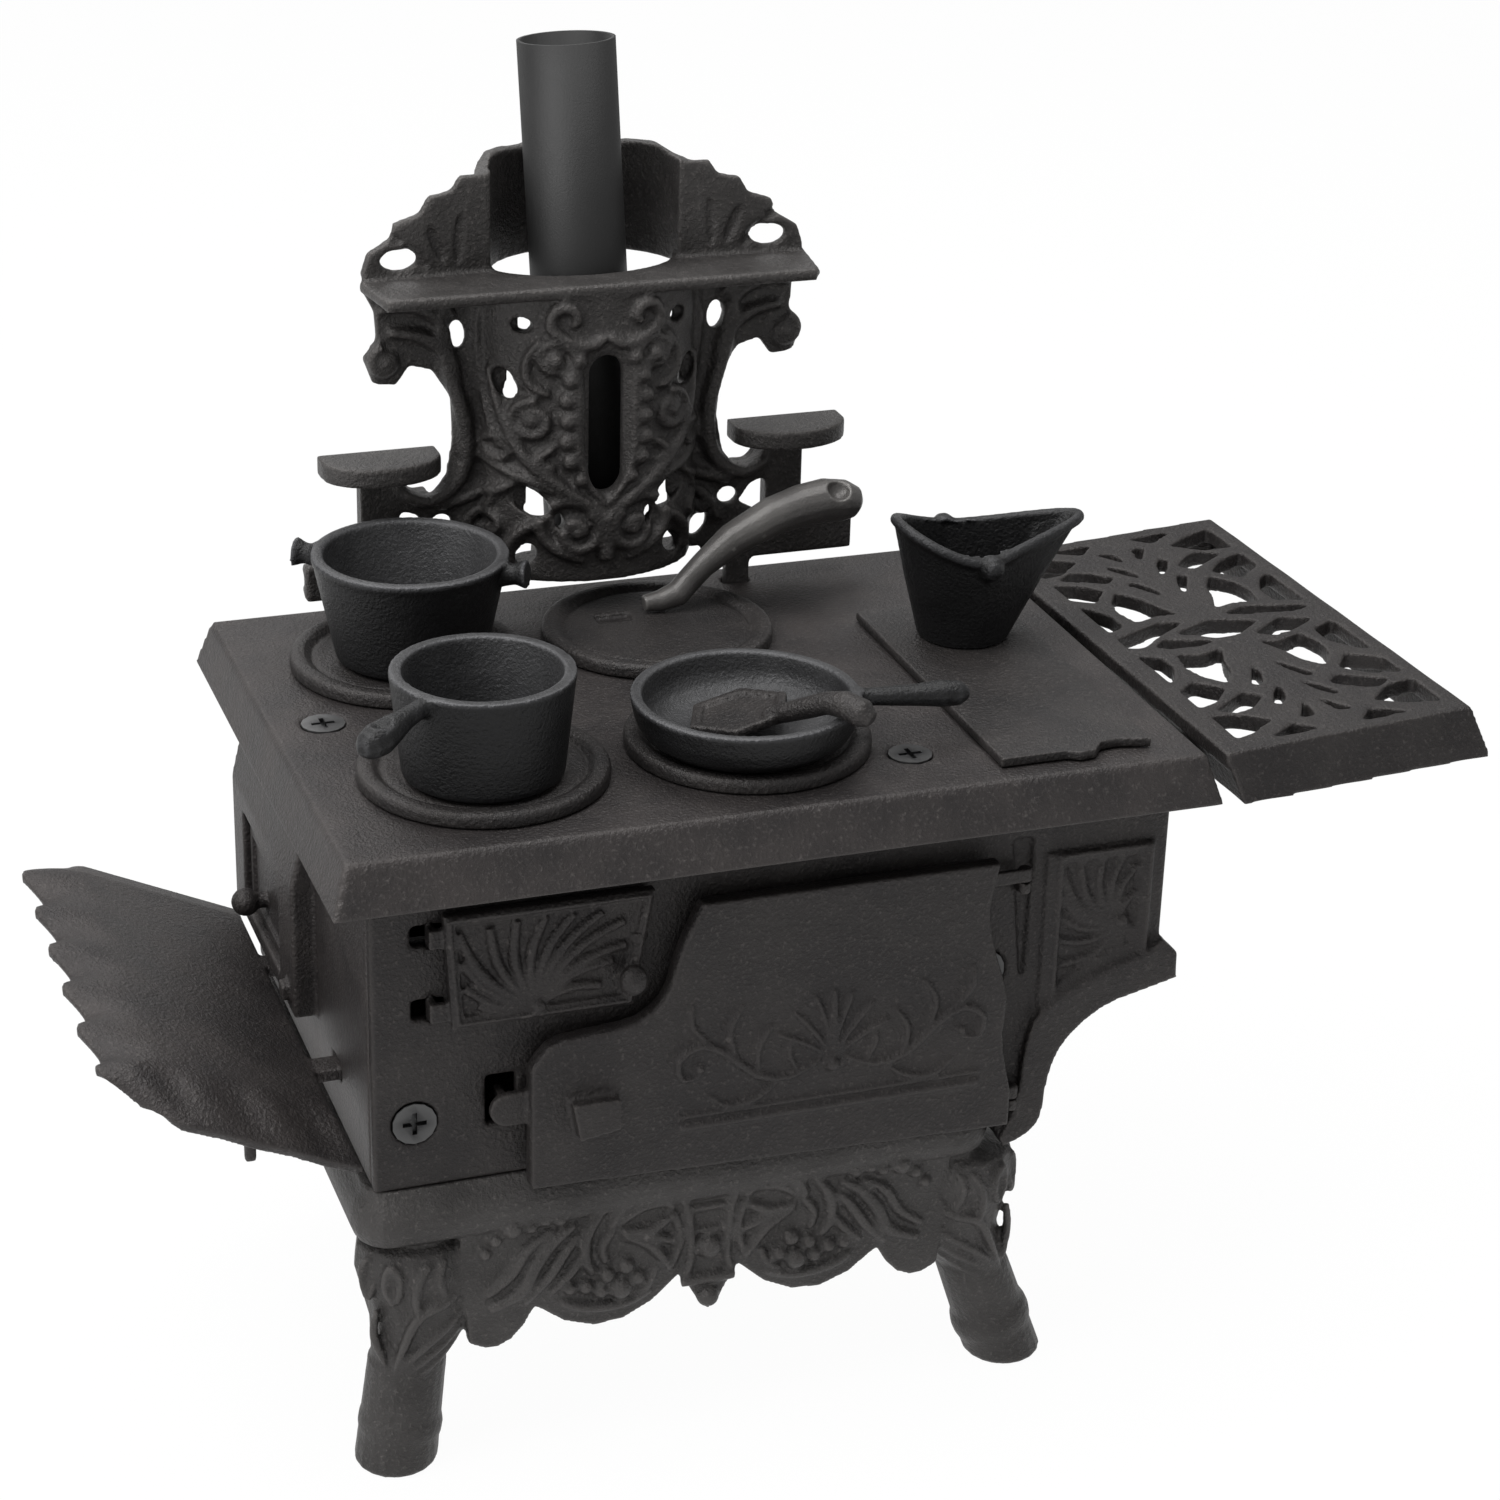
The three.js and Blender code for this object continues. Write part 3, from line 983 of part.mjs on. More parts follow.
function apronShape() {
  const full = base.bottom + wall;
  const drop = base.bottom - apron.lowest;
  const point = (side, across, down) => [apronMiddle + side * apronHalf * across, base.bottom - drop * down];
  const { lobes, rise } = apronShares;
  const shape = new THREE.Shape();
  shape.moveTo(...point(1, 0, 1));
  for (const [pullX, pullZ, x, z] of lobes) shape.quadraticCurveTo(...point(1, pullX, pullZ),
    ...point(1, x, z));
  shape.lineTo(point(1, rise, 0)[0], full);
  shape.lineTo(point(-1, rise, 0)[0], full);
  shape.lineTo(...point(-1, ...lobes[lobes.length - 1].slice(2)));
  for (let k = lobes.length - 1; k >= 0; k -= 1) {
    const [pullX, pullZ] = lobes[k];
    const end = k > 0 ? lobes[k - 1].slice(2) : [0, 1];
    shape.quadraticCurveTo(...point(-1, pullX, pullZ), ...point(-1, ...end));
  }
  return shape;
}

function makeBase() {
  const tall = base.top - base.bottom;
  const rings = baseShares.map(([up, inset]) => roundedRing(
    base.left + inset * base.corner, base.front + inset * base.corner,
    base.right - inset * base.corner, base.back - inset * base.corner,
    base.corner * (1 - inset), base.bottom + tall * up));
  const slab = skinned(rings);
  const rim = base.corner * baseRim.rimShare;
  const hollow = block(base.left + rim, base.front + rim, base.bottom - cutOver,
    base.right - rim, base.back - rim, base.top - base.floor);
  const aprons = [base.front + apron.inset + apron.thick, base.back - apron.inset]
    .map((y) => upright(apronShape(), apron.thick, y, 5));
  const legs = Object.values(feet).flatMap((place) => ['left', 'right'].map((side) => legSolid(side, place)));
  const drumX = base.right - leg.drumIn;
  const notchY = base.front + leg.inset;
  const notch = drum([drumX, notchY, leg.drumTop], [drumX, notchY, base.top + cutOver], leg.notch);
  return cut(join(cut(slab, hollow), ...aprons, ...legs), notch);
}

// Backsplash

// The panel in plan: flat wings with a half-ellipse that swells to the front or hollows to the back
function panelBand(reach, halfWidth, inset, steps = 14) {
  const points = [];
  for (let k = 0; k <= steps; k += 1) {
    const angle = Math.PI * (1 - k / steps);
    points.push([panel.middle + (halfWidth - inset) * Math.cos(angle),
      panel.plane + (reach - Math.sign(reach) * inset) * Math.sin(angle)]);
  }
  return points;
}

function shellBand(reach, outer, bottom, top) {
  const half = panel.thick / 2;
  const near = panel.plane - half;
  const far = panel.plane + half;
  const swell = (inset) => panelBand(reach, bulge.halfWidth, inset);
  const flip = reach < 0;
  const outside = swell(0).map(([x, y]) => [x, flip ? Math.min(y, near) : Math.max(y, far)]);
  const inside = swell(panel.thick).map(([x, y]) => [x,
    flip ? Math.min(y, far) : Math.max(y, near)]).reverse();
  const left = panel.middle - outer;
  const right = panel.middle + outer;
  const edgeOut = flip ? near : far;
  const edgeIn = flip ? far : near;
  return lying(shapeOf([[left, edgeOut], ...outside, [right, edgeOut], [right, edgeIn], ...inside,
    [left, edgeIn]]), top - bottom, bottom);
}

// Both halves of an outline that is the same left and right of the middle of the panel
function mirrored(points) {
  const right = points.map(([x, z]) => [panel.middle + x, z]);
  const left = points.map(([x, z]) => [panel.middle - x, z]).reverse();
  return shapeOf([...right, ...left]);
}

function roundHole(x, z, rx, rz, sides = 5) {
  const shape = new THREE.Shape();
  shape.absellipse(panel.middle + x, z, rx, rz, 0, 2 * Math.PI, false, 0);
  return upright(shape, 4 * bulge.behind, panel.plane + 2 * bulge.behind, sides);
}

// Round openings on both sides of the middle, from shares of the half width and of a height
function piercings(shares, low, tall) {
  const side = crest.halfWidth;
  return shares.flatMap(([x, z, rx, rz]) => [-1, 1].map((way) => roundHole(
    way * side * x, low + tall * z, side * rx, tall * rz)));
}

function makeBacksplash() {
  const upTo = crest.top - panel.shelfZ;
  const side = crest.halfWidth;
  const crestOutline = mirrored(crestShares.map(([x, z]) => [side * x, panel.shelfZ + upTo * z]));
  const lowTall = panel.shelfZ - panel.bottom;
  const lowOutline = mirrored([[side * footShare, panel.floor],
    ...wingShares.map(([x, z]) => [side * x, panel.bottom + lowTall * z])]);
  const deep = 4 * bulge.behind;
  const backOf = panel.plane + 2 * bulge.behind;
  const wide = side * railShare + wall;
  const upper = shellBand(bulge.behind, wide, panel.shelfZ, crest.top + cutOver)
    .intersect(upright(crestOutline, deep, backOf));
  const lower = shellBand(-bulge.forward, wide, panel.bottom, panel.shelfZ + panel.shelfThick / 2)
    .intersect(upright(lowOutline, deep, backOf));
  const front = panel.plane - bulge.forward;
  const mitre = side - wall;
  const shelfShape = shapeOf([[panel.middle - mitre, front], [panel.middle + mitre, front],
    [panel.middle + side, panel.plane], [panel.middle + bulge.halfWidth, panel.plane],
    ...panelBand(bulge.behind, bulge.halfWidth, 0).reverse(), [panel.middle - side, panel.plane]]);
  const holeFront = panel.plane - bulge.forward * shelfHoleShare;
  const holeBack = panel.plane + bulge.behind - panel.thick;
  const hole = new THREE.Path();
  hole.absellipse(panel.middle, (holeFront + holeBack) / 2, bulge.halfWidth - panel.thick,
    (holeBack - holeFront) / 2, 0, 2 * Math.PI, true, 0);
  shelfShape.holes.push(hole);
  const ledge = lying(shelfShape, panel.shelfThick, panel.shelfZ, 16);
  const seatShape = shapeOf([...panelBand(-bulge.forward, bulge.halfWidth, wall / 2),
    ...panelBand(pipe.radius + wall / 2, pipe.radius + wall / 2, 0).reverse()]);
  const pipeSeat = lying(seatShape, wall, panel.floor);
  const pegs = [-1, 1].map((way) => {
    const x = panel.middle + way * peg.offset;
    return block(x - peg.width / 2, panel.plane - peg.depth / 2, topSurface - peg.sink,
      x + peg.width / 2, panel.plane + peg.depth / 2, panel.bottom + wall);
  });
  const trivets = [-1, 1].flatMap(trivetSolids);
  const ribs = [-1, 1].flatMap((way) => railShares.ribs.map((up) => {
    const x0 = panel.middle + way * (peg.offset - peg.width / 2);
    const x1 = panel.middle + way * side * railShare;
    const z = panel.bottom + lowTall * railShares.tall * up;
    return block(Math.min(x0, x1), panel.plane, z - wall / 3, Math.max(x0, x1), panel.plane + panel.thick,
      z + wall / 3);
  }));
  const slotCut = upright(slotShape(), bulge.forward + cutOver, panel.plane - wall);
  const holes = [...piercings(crestHoleShares, panel.shelfZ, upTo),
    ...piercings(wingHoleShares, panel.bottom, lowTall)];
  return cut(join(upper, lower, ledge, pipeSeat, ...pegs, ...trivets, ...ribs), slotCut, ...holes);
}

// A half-round trivet on a post, to the left (-1) or the right (1) of the panel
function trivetSolids(way) {
  const backY = panel.plane + panel.thick / 2;
  const cx = panel.middle + way * (trivet.inner + trivet.outer) / 2;
  const r = (trivet.outer - trivet.inner) / 2;
  const roundY = backY - trivet.depth * trivetShares.straight;
  const shape = new THREE.Shape();
  shape.moveTo(cx - r, backY);
  shape.lineTo(cx - r, roundY);
  shape.absellipse(cx, roundY, r, trivet.depth * trivetShares.round, Math.PI, 2 * Math.PI, false, 0);
  shape.lineTo(cx + r, backY);
  const half = r * trivetShares.post;
  const post = block(cx - half, panel.plane - panel.thick / 2, panel.bottom, cx + half, backY + wall / 2,
    trivet.top - trivet.thick / 2);
  return [lying(shape, trivet.thick, trivet.top - trivet.thick, 14), post];
}

function slotShape() {
  const half = pipeSlot.width / 2;
  const shape = new THREE.Shape();
  shape.moveTo(panel.middle - half, pipeSlot.bottom + half);
  shape.absarc(panel.middle, pipeSlot.bottom + half, half, Math.PI, 2 * Math.PI, false);
  shape.absarc(panel.middle, pipeSlot.top - half, half, 0, Math.PI, false);
  return shape;
}

// Stove pipe

function makePipe() {
  const z0 = panel.floor + wall + seatGap + pipe.radius * Math.sin(radians(Math.hypot(pipe.leanX,
    pipe.leanY)));
  const length = (pipe.top - z0) / Math.cos(radians(pipe.leanY));
  const profile = [[pipe.radius - pipe.wall, 0], [pipe.radius, 0], [pipe.radius, length],
    [pipe.radius - pipe.wall, length], [pipe.radius - pipe.wall, 0]];
  return turned(profile, 0, 0, 0).rotate([-pipe.leanY, pipe.leanX, 0])
    .translate([panel.middle + pipe.aside, panel.plane - pipe.ahead, z0]);
}

// Pots

const panSeat = lidFace + seatGap;

function bowl({ baseRadius, rimRadius, height, wall: side }, x, y, z, lip = 0) {
  const profile = [[0, 0], [baseRadius, 0], [rimRadius, height - side], [rimRadius + lip, height - side / 2],
    [rimRadius + lip, height], [rimRadius - side, height], [baseRadius - side, side], [0, side]];
  return turned(profile, x, y, z);
}

function makeDutchOven() {
  const pot = bowl(dutch, dutch.x, dutch.y, panSeat, dutch.wall / 4);
  const z = panSeat + dutch.height - ear.drop;
  const ears = [0, 180].flatMap((turn) => {
    const angle = radians(dutch.earTurn + turn);
    const at = (r) => [dutch.x + r * Math.cos(angle), dutch.y + r * Math.sin(angle), z];
    const out = dutch.rimRadius + ear.reach;
    return [drum(at(dutch.rimRadius - dutch.wall / 2), at(out), ear.neck),
      drum(at(out - ear.buttonThick), at(out), ear.button)];
  });
  return join(pot, ...ears);
}

function makeSaucepan() {
  const pot = bowl(pan, pan.x, pan.y, panSeat);
  const angle = radians(pan.handleTurn);
  const z = panSeat + pan.height;
  const { along, drop, radius } = panGripShares;
  const at = (r, down) => [pan.x + r * Math.cos(angle), pan.y + r * Math.sin(angle), z - pan.wall * down];
  const grip = tube([at(pan.rimRadius - pan.wall / 2, drop[0]),
    at(pan.rimRadius + pan.reach * along[0], drop[1]), at(pan.rimRadius + pan.reach * along[1], drop[2]),
    at(pan.rimRadius + pan.reach, drop[3])],
  radius.map((share) => pan.wall * share), gripSlices, gripSides);
  return join(pot, grip);
}

function makeSkillet() {
  const dish = bowl(skillet, skillet.x, skillet.y, panSeat);
  const z = panSeat + skillet.height - skillet.wall;
  const angle = radians(skillet.handleTurn);
  const { along, rise, radius } = skilletGripShares;
  const at = (r, up) => [skillet.x + r * Math.cos(angle), skillet.y + r * Math.sin(angle),
    z + skillet.wall * up];
  const grip = tube([at(skillet.rimRadius - skillet.wall, 0),
    at(skillet.rimRadius + skillet.reach * along[0], 0),
    at(skillet.rimRadius + skillet.reach * along[1], rise), at(skillet.rimRadius + skillet.reach, rise)],
  radius.map((share) => skillet.wall * share), gripSlices, gripSides);
  return join(dish, grip);
}

// The shovel lies in the skillet with its stem over the rim
function makeShovel() {
  const floorZ = panSeat + skillet.wall + seatGap;
  const angle = radians(shovel.turn);
  const corners = Array.from({ length: shovel.corners }, (_, k) => {
    const turn = angle + 2 * Math.PI * k / shovel.corners;
    return [shovel.blade * Math.cos(turn), shovel.blade * Math.sin(turn)];
  });
  const blade = lying(shapeOf(corners), shovel.thick, 0);
  const rimClear = skillet.height - skillet.wall + shovel.handle * shovelShares.clear + seatGap;
  const at = (r, up) => [r * Math.cos(angle), r * Math.sin(angle), up];
  const stem = tube([at(shovel.blade * shovelShares.root, shovel.thick),
    at(shovel.blade + wall, shovel.thick + wall), at(skillet.rimRadius - wall / 2, rimClear + wall / 2),
    at(skillet.rimRadius + shovel.tipOut, rimClear)],
  shovelShares.radius.map((share) => shovel.handle * share), gripSlices, gripSides);
  return join(blade, stem).translate([skillet.x, skillet.y, floorZ]);
}

function makeLifter() {
  const [x, y] = lidSpots.lid_back_right;
  const z = lidFace + seatGap + lifter.tipRadius;
  const spine = lifterShares.map(([along, up]) => [x + lifter.length * along, y + lifter.aside,
    z + lifter.height * up]);
  return tube(spine, lifterThickShares.map((share) => lifter.radius * share), lifter.slices, gripSides);
}

// A ring of the hod: round at the foot, drawn out to a spout at the front and raised at the back
function hodRing(level, inset, low) {
  return Array.from({ length: hodSides }, (_, k) => {
    const angle = 2 * Math.PI * k / hodSides;
    const c = Math.cos(angle);
    const s = Math.sin(angle);
    const end = c > 0 ? hod.spout : hod.back;
    const reach = THREE.MathUtils.lerp(hod.baseRadius, end,
      c > 0 ? level * c ** hodShares.spoutPower : level);
    const across = THREE.MathUtils.lerp(hod.baseRadius, hod.side,
      level) * (1 - hodShares.pinch * level * Math.max(0, c));
    const lift = hod.saddle * level * (Math.max(0, -c) / 2 - s * s);
    const tall = level === 0 ? low : hod.height * level + lift;
    return new THREE.Vector3(hodX + (reach - inset) * c, hodY + (across - inset) * s,
      coverFace + seatGap + tall);
  });
}

function makeHod() {
  const outer = skinned(hodShares.levels.map((level) => hodRing(level, 0, 0)));
  const over = new THREE.Vector3(0, 0, seatGap);
  const inner = skinned(hodShares.levels.map((level) => hodRing(level, hod.wall, hod.wall)
    .map((point) => (level === 1 ? point.add(over) : point))));
  const ears = [-1, 1].map((side) => ball(hodX, hodY + side * (hod.side - hod.wall / 3),
    coverFace + seatGap + hod.height - hod.saddle - hod.ear / 2, hod.ear, gripSides));
  return join(cut(outer, inner), ...ears.map((knob) => cut(knob, inner)));
}

// The whole range

const pieces = [
  ['cooktop', makeCooktop(), castIronWarm],
  ...Object.keys(lidSpots).map((name) => [name, makeLid(name), castIron]),
  ['reservoir_cover', makeCover(), castIron],
  ['front_panel', makeFrontPanel(), castIronWarm],
  ['back_panel', makeBackPanel(), castIron],
  ['left_end', makeLeftEnd(), castIronWarm],
  ['reservoir', makeReservoir(), castIron],
  ['base', makeBase(), castIron],
  ['fire_door', makeFireDoor(), castIronWarm],
  ['oven_door', makeOvenDoor(), castIronWarm],
  ['end_flap', makeEndFlap(), castIronWarm],
  ['hearth', makeHearth(), castIronWarm],
  ['side_shelf', makeSideShelf(), castIron],
  ['backsplash', makeBacksplash(), castIron],
  ['stove_pipe', makePipe(), rolledSteel],
  ['dutch_oven', makeDutchOven(), potIron],
  ['saucepan', makeSaucepan(), potIron],
  ['skillet', makeSkillet(), potIron],
  ['coal_shovel', makeShovel(), castIron],
  ['lid_lifter', makeLifter(), castIron],
  ['coal_hod', makeHod(), potIron],
  ...Object.entries(screwSpots).map(([name, [look, spot]]) => [name, faceScrew(screwSolid(), look, spot),
  screwSteel]),
];

const stove = new THREE.Group();
for (const [name, solid, finish] of pieces) stove.add(piece(name, solid, finish));
stove.updateMatrixWorld(true);
const reach = new THREE.Box3().setFromObject(stove);
const middle = reach.getCenter(new THREE.Vector3());
stove.position.set(-middle.x, -middle.y, -reach.min.z);

export default stove;
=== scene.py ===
import math

import bpy
from mathutils import Matrix, Vector


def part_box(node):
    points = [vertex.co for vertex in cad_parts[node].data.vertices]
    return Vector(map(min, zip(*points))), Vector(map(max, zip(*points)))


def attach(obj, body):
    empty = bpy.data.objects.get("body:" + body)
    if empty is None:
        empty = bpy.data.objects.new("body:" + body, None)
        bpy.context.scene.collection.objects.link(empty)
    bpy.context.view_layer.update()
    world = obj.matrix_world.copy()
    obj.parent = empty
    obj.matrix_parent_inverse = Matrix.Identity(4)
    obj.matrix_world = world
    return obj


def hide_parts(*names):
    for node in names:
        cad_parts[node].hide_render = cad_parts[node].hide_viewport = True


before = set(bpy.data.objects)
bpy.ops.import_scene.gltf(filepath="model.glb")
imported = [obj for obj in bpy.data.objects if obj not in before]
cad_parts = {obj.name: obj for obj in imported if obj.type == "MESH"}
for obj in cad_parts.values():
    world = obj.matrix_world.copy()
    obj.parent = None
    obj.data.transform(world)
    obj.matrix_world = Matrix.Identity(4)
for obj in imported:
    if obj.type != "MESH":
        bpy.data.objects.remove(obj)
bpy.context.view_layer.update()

# Miniature wood cook stove in satin black cast iron.
# Places are written in millimetres from the middle of the cooktop and from the floor.

MM = 0.001
cooktop_low, cooktop_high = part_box("cooktop")
cooktop_middle = (cooktop_low + cooktop_high) / 2


def at(x, y, z):
    """The point at so many millimetres across, back and up."""
    return Vector((cooktop_middle.x + x * MM, cooktop_middle.y + y * MM, z * MM))


# Heights that several pieces share: the seat of a lid, the face of a lid, and the foot of a pot
LID_SEAT = 161.3
LID_FACE = 163.8
POT_SEAT = 164.1
LID_PLACES = {
    "lid_front_left": (-59.5, -34.3),
    "lid_front_right": (1.5, -34.3),
    "lid_back_left": (-59.5, 31.0),
    "lid_back_right": (1.5, 31.0),
}
# Backsplash: its middle across, the plane of its wings, their front face, and the swell before the pipe
PANEL_MIDDLE = -7.6
PANEL_PLANE = 61.0
WING_FACE = PANEL_PLANE - 1.7
BULGE_HALF = 26.5
BULGE_OUT = 17.5


# Camera: found from the photograph's own lines, as place, right, up and lens

camera_data = bpy.data.cameras.new("camera")
camera = bpy.data.objects.new("camera", camera_data)
bpy.context.scene.collection.objects.link(camera)
camera_right = Vector((0.9421, -0.3342, 0.0264)).normalized()
camera_up = Vector((0.1156, 0.3976, 0.9103))
camera_up = (camera_up - camera_right * camera_up.dot(camera_right)).normalized()
camera_back = camera_right.cross(camera_up)
camera_turn = Matrix((camera_right, camera_up, camera_back)).transposed().to_4x4()
camera.matrix_world = Matrix.Translation(at(-239.3, -690.0, 476.4)) @ camera_turn
camera_data.sensor_fit = "HORIZONTAL"
camera_data.sensor_width = 36
camera_data.lens = 82.19
camera_data.clip_start = 0.01
camera_data.clip_end = 20
bpy.context.scene.camera = camera


# Materials

def srgb(text):
    """A colour written as #rrggbb, turned into the linear values that a shader takes."""
    channels = [int(text[i:i + 2], 16) / 255 for i in (1, 3, 5)]
    return [c / 12.92 if c <= 0.04045 else ((c + 0.055) / 1.055) ** 2.4 for c in channels] + [1]


def add(tree, kind, values=None, links=None, **settings):
    """One shader node with its settings, its input values and its links."""
    node = tree.nodes.new(kind)
    for key, value in settings.items():
        setattr(node, key, value)
    for key, value in (values or {}).items():
        node.inputs[key].default_value = value
    for key, source in (links or {}).items():
        tree.links.new(source, node.inputs[key])
    return node


# Slow patches of tone and low lumps, by their size, and how deep the bump is, in millimetres
PATCH_SIZE = 16
LUMP_SIZE = 4.5
BUMP_DEPTH = 0.55


def sand_cast_iron(name, deep, pale, worn, grain=0.9, shine=(0.42, 0.58), grit=0.9, speck=0.6):
    """Black iron poured in sand: fine grain, slow patches of tone, edges rubbed paler.

    deep, pale and worn are its colours, grain is the size of the sand in millimetres, shine is the
    range of roughness, grit the strength of the bump and speck the share of worn colour on the grain.
    """
    material = bpy.data.materials.new(name)
    material.use_nodes = True
    tree = material.node_tree
    shader = tree.nodes["Principled BSDF"]
    shader.inputs["Metallic"].default_value = 0.35
    shader.inputs["Specular IOR Level"].default_value = 0.45
    place = add(tree, "ShaderNodeTexCoord").outputs["Object"]

    def noise(size, detail, roughness=0.5):
        values = {"Scale": 1 / (size * MM), "Detail": detail, "Roughness": roughness}
        return add(tree, "ShaderNodeTexNoise", values, {"Vector": place}).outputs["Fac"]

    def spread(source, low=0.0, high=1.0, start=0.0, end=1.0):
        values = {"From Min": low, "From Max": high, "To Min": start, "To Max": end}
        return add(tree, "ShaderNodeMapRange", values, {"Value": source}).outputs["Result"]

    def mixed(colours, links):
        return add(tree, "ShaderNodeMix", colours, links, data_type="RGBA").outputs["Result"]

    sand = noise(grain, 3.0, 0.62)
    patches = noise(PATCH_SIZE, 4.0, 0.6)
    lumps = noise(LUMP_SIZE, 2.0)
    # The body wanders between its two tones; worn colour goes on sharp edges and on the highest grains
    body = mixed({"A": srgb(deep), "B": srgb(pale)}, {"Factor": spread(patches, 0.36, 0.66)})
    specks = spread(sand, 0.56, 0.75, end=speck)
    rubbed = spread(add(tree, "ShaderNodeNewGeometry").outputs["Pointiness"], 0.515, 0.6, end=0.55)
    bare = add(tree, "ShaderNodeMath", None, {0: rubbed, 1: specks}, operation="MAXIMUM").outputs[0]
    height = add(tree, "ShaderNodeMath", {1: 0.5}, {0: lumps, 2: sand}, operation="MULTIPLY_ADD").outputs[0]
    bump = add(tree, "ShaderNodeBump", {"Strength": grit, "Distance": BUMP_DEPTH * MM}, {"Height": height})
    for socket, source in (
        ("Base Color", mixed({"B": srgb(worn)}, {"Factor": bare, "A": body})),
        ("Roughness", spread(patches, start=shine[0], end=shine[1])),
        ("Normal", bump.outputs["Normal"]),
    ):
        tree.links.new(source, shader.inputs[socket])
    return material


# Cooktop, hearth and the plain plates: a warm, soft black that lies a little paler on the broad faces
plate_iron = sand_cast_iron("sand_cast_iron_plates", "#292626", "#363231", "#5c5856")
# Doors, front panel and side shelf: the plate iron made blacker, painted shade like the shade under the
# cooktop
door_iron_painted_shade = sand_cast_iron("sand_cast_iron_doors_painted_shade", "#211e1e", "#2c2928", "#4f4b49")
# Base, legs and backsplash: the same sandy black made paler than the plates, painted light for the floor's
# bounce on the legs, and rubbed greyer along its ribs by handling
base_iron_painted_light = sand_cast_iron("sand_cast_iron_base_painted_light", "#302e2d", "#3d3b3a", "#625e5c", shine=(0.4, 0.56))
# Lids, reservoir and shovel: a black between the plates and the doors, with a slightly tighter shine
range_iron = sand_cast_iron("sand_cast_iron_range", "#262424", "#312e2d", "#565250", shine=(0.4, 0.56))
# Outside of the pots and the hod: a deep neutral black, partly painted shade for the pot sides turned from
# the lamps, rubbed to grey metal only along the edges
pot_iron = sand_cast_iron("sand_cast_iron_pots", "#0e0e0f", "#161617", "#6a6a6d", grain=0.8,
                          shine=(0.38, 0.54), grit=0.65, speck=0.0)
# Inside and along the rims the pots take a paler copy of their iron: painted light on the faces that look
# up or inward toward the lamps
pot_inside_painted_light = sand_cast_iron("cast_iron_pot_inside_painted_light", "#313132", "#414142", "#7c7c7f", grain=0.8,
                              shine=(0.42, 0.58), grit=0.65, speck=0.2)
# The lid lifter: finer-grained and worn to a paler, smoother grey all over by the hand
lifter_iron = sand_cast_iron("sand_cast_iron_handled", "#4c4a49", "#5c5a58", "#8c8a87", grain=0.6,
                             shine=(0.34, 0.48), grit=0.3, speck=0.1)
# Rolled sheet: smooth, with only a faint mill grain
tube_steel = sand_cast_iron("blacked_steel_tube", "#0c0c0c", "#121212", "#2a2a2a", grain=0.5,
                            shine=(0.5, 0.64), grit=0.14)
# Blacked screws: a smoother, tighter shine than the castings round them
screw_steel = sand_cast_iron("blacked_steel_screws", "#1c1c1d", "#272728", "#5c5c5c", grain=0.4,
                             shine=(0.3, 0.42), grit=0.08)


# Ways of making a piece

def deselect():
    if bpy.context.object and bpy.context.object.mode != "OBJECT":
        bpy.ops.object.mode_set(mode="OBJECT")
    bpy.ops.object.select_all(action="DESELECT")


def choose(*pieces):
    deselect()
    for piece in pieces:
        piece.select_set(True)
    bpy.context.view_layer.objects.active = pieces[0]


def join(pieces):
    if len(pieces) > 1:
        choose(*pieces)
        bpy.ops.object.join()
    return pieces[0]


def in_edit_mode(piece, step, **settings):
    """Does one step of mesh editing to the whole of a piece."""
    choose(piece)
    bpy.ops.object.mode_set(mode="EDIT")
    bpy.ops.mesh.select_all(action="SELECT")
    step(**settings)
    bpy.ops.object.mode_set(mode="OBJECT")


def casting_copy(node):
    """A free copy of a plain piece of the frame, with its doubled corners merged."""
    piece = bpy.data.objects.new(node + "_cast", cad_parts[node].data.copy())
    bpy.context.scene.collection.objects.link(piece)
    in_edit_mode(piece, bpy.ops.mesh.remove_doubles, threshold=1e-6)
    return piece


def use(piece, kind, **settings):
    """Puts one modifier on a piece and applies it."""
    choose(piece)
    modifier = piece.modifiers.new(kind.lower(), kind)
    for key, value in settings.items():
        setattr(modifier, key, value)
    bpy.ops.object.modifier_apply(modifier=modifier.name)


def cut(piece, cutter):
    """Takes the shape of a cutter out of a piece, and the cutter out of the scene."""
    use(piece, "BOOLEAN", operation="DIFFERENCE", object=cutter, solver="EXACT")
    bpy.data.objects.remove(cutter)


def freeze():
    """Writes the newest piece's place, turn and size into its mesh."""
    bpy.ops.object.transform_apply(location=True, rotation=True, scale=True)
    return bpy.context.object


def soften(piece, voxel, rounds=3, most=170000):
    """Gives a piece the rounded edges and run-together joins of a casting.

    voxel is the grid it is remade on, in millimetres, rounds how often it is smoothed, and most the
    number of triangles it may keep.
    """
    use(piece, "REMESH", mode="VOXEL", voxel_size=voxel * MM, adaptivity=0)
    use(piece, "SMOOTH", factor=0.5, iterations=rounds)
    faces = len(piece.data.polygons) * 2
    if faces > most:
        use(piece, "DECIMATE", ratio=most / faces)


def finish(piece, body, material, *nodes):
    """Gives a piece its iron, hangs it on the body it rides on, and hides the plain pieces it stands for.
    """
    choose(piece)
    bpy.ops.object.shade_smooth()
    piece.data.materials.clear()
    piece.data.materials.append(material)
    for polygon in piece.data.polygons:
        polygon.material_index = 0
    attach(piece, body)
    if nodes:
        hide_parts(*nodes)


def strokes(lines, name="strokes", resolution=3):
    """Rounded ribs along lines. Each line is a list of (point, radius in millimetres)."""
    curve = bpy.data.curves.new(name, "CURVE")
    curve.dimensions = "3D"
    curve.bevel_depth = MM
    curve.bevel_resolution = resolution
    curve.use_fill_caps = True
    for line in lines:
        spline = curve.splines.new("POLY")
        spline.points.add(len(line) - 1)
        for spot, (point, radius) in zip(spline.points, line):
            spot.co = (*point, 1)
            spot.radius = radius
    piece = bpy.data.objects.new(name, curve)
    bpy.context.scene.collection.objects.link(piece)
    choose(piece)
    bpy.ops.object.convert(target="MESH")
    return bpy.context.object


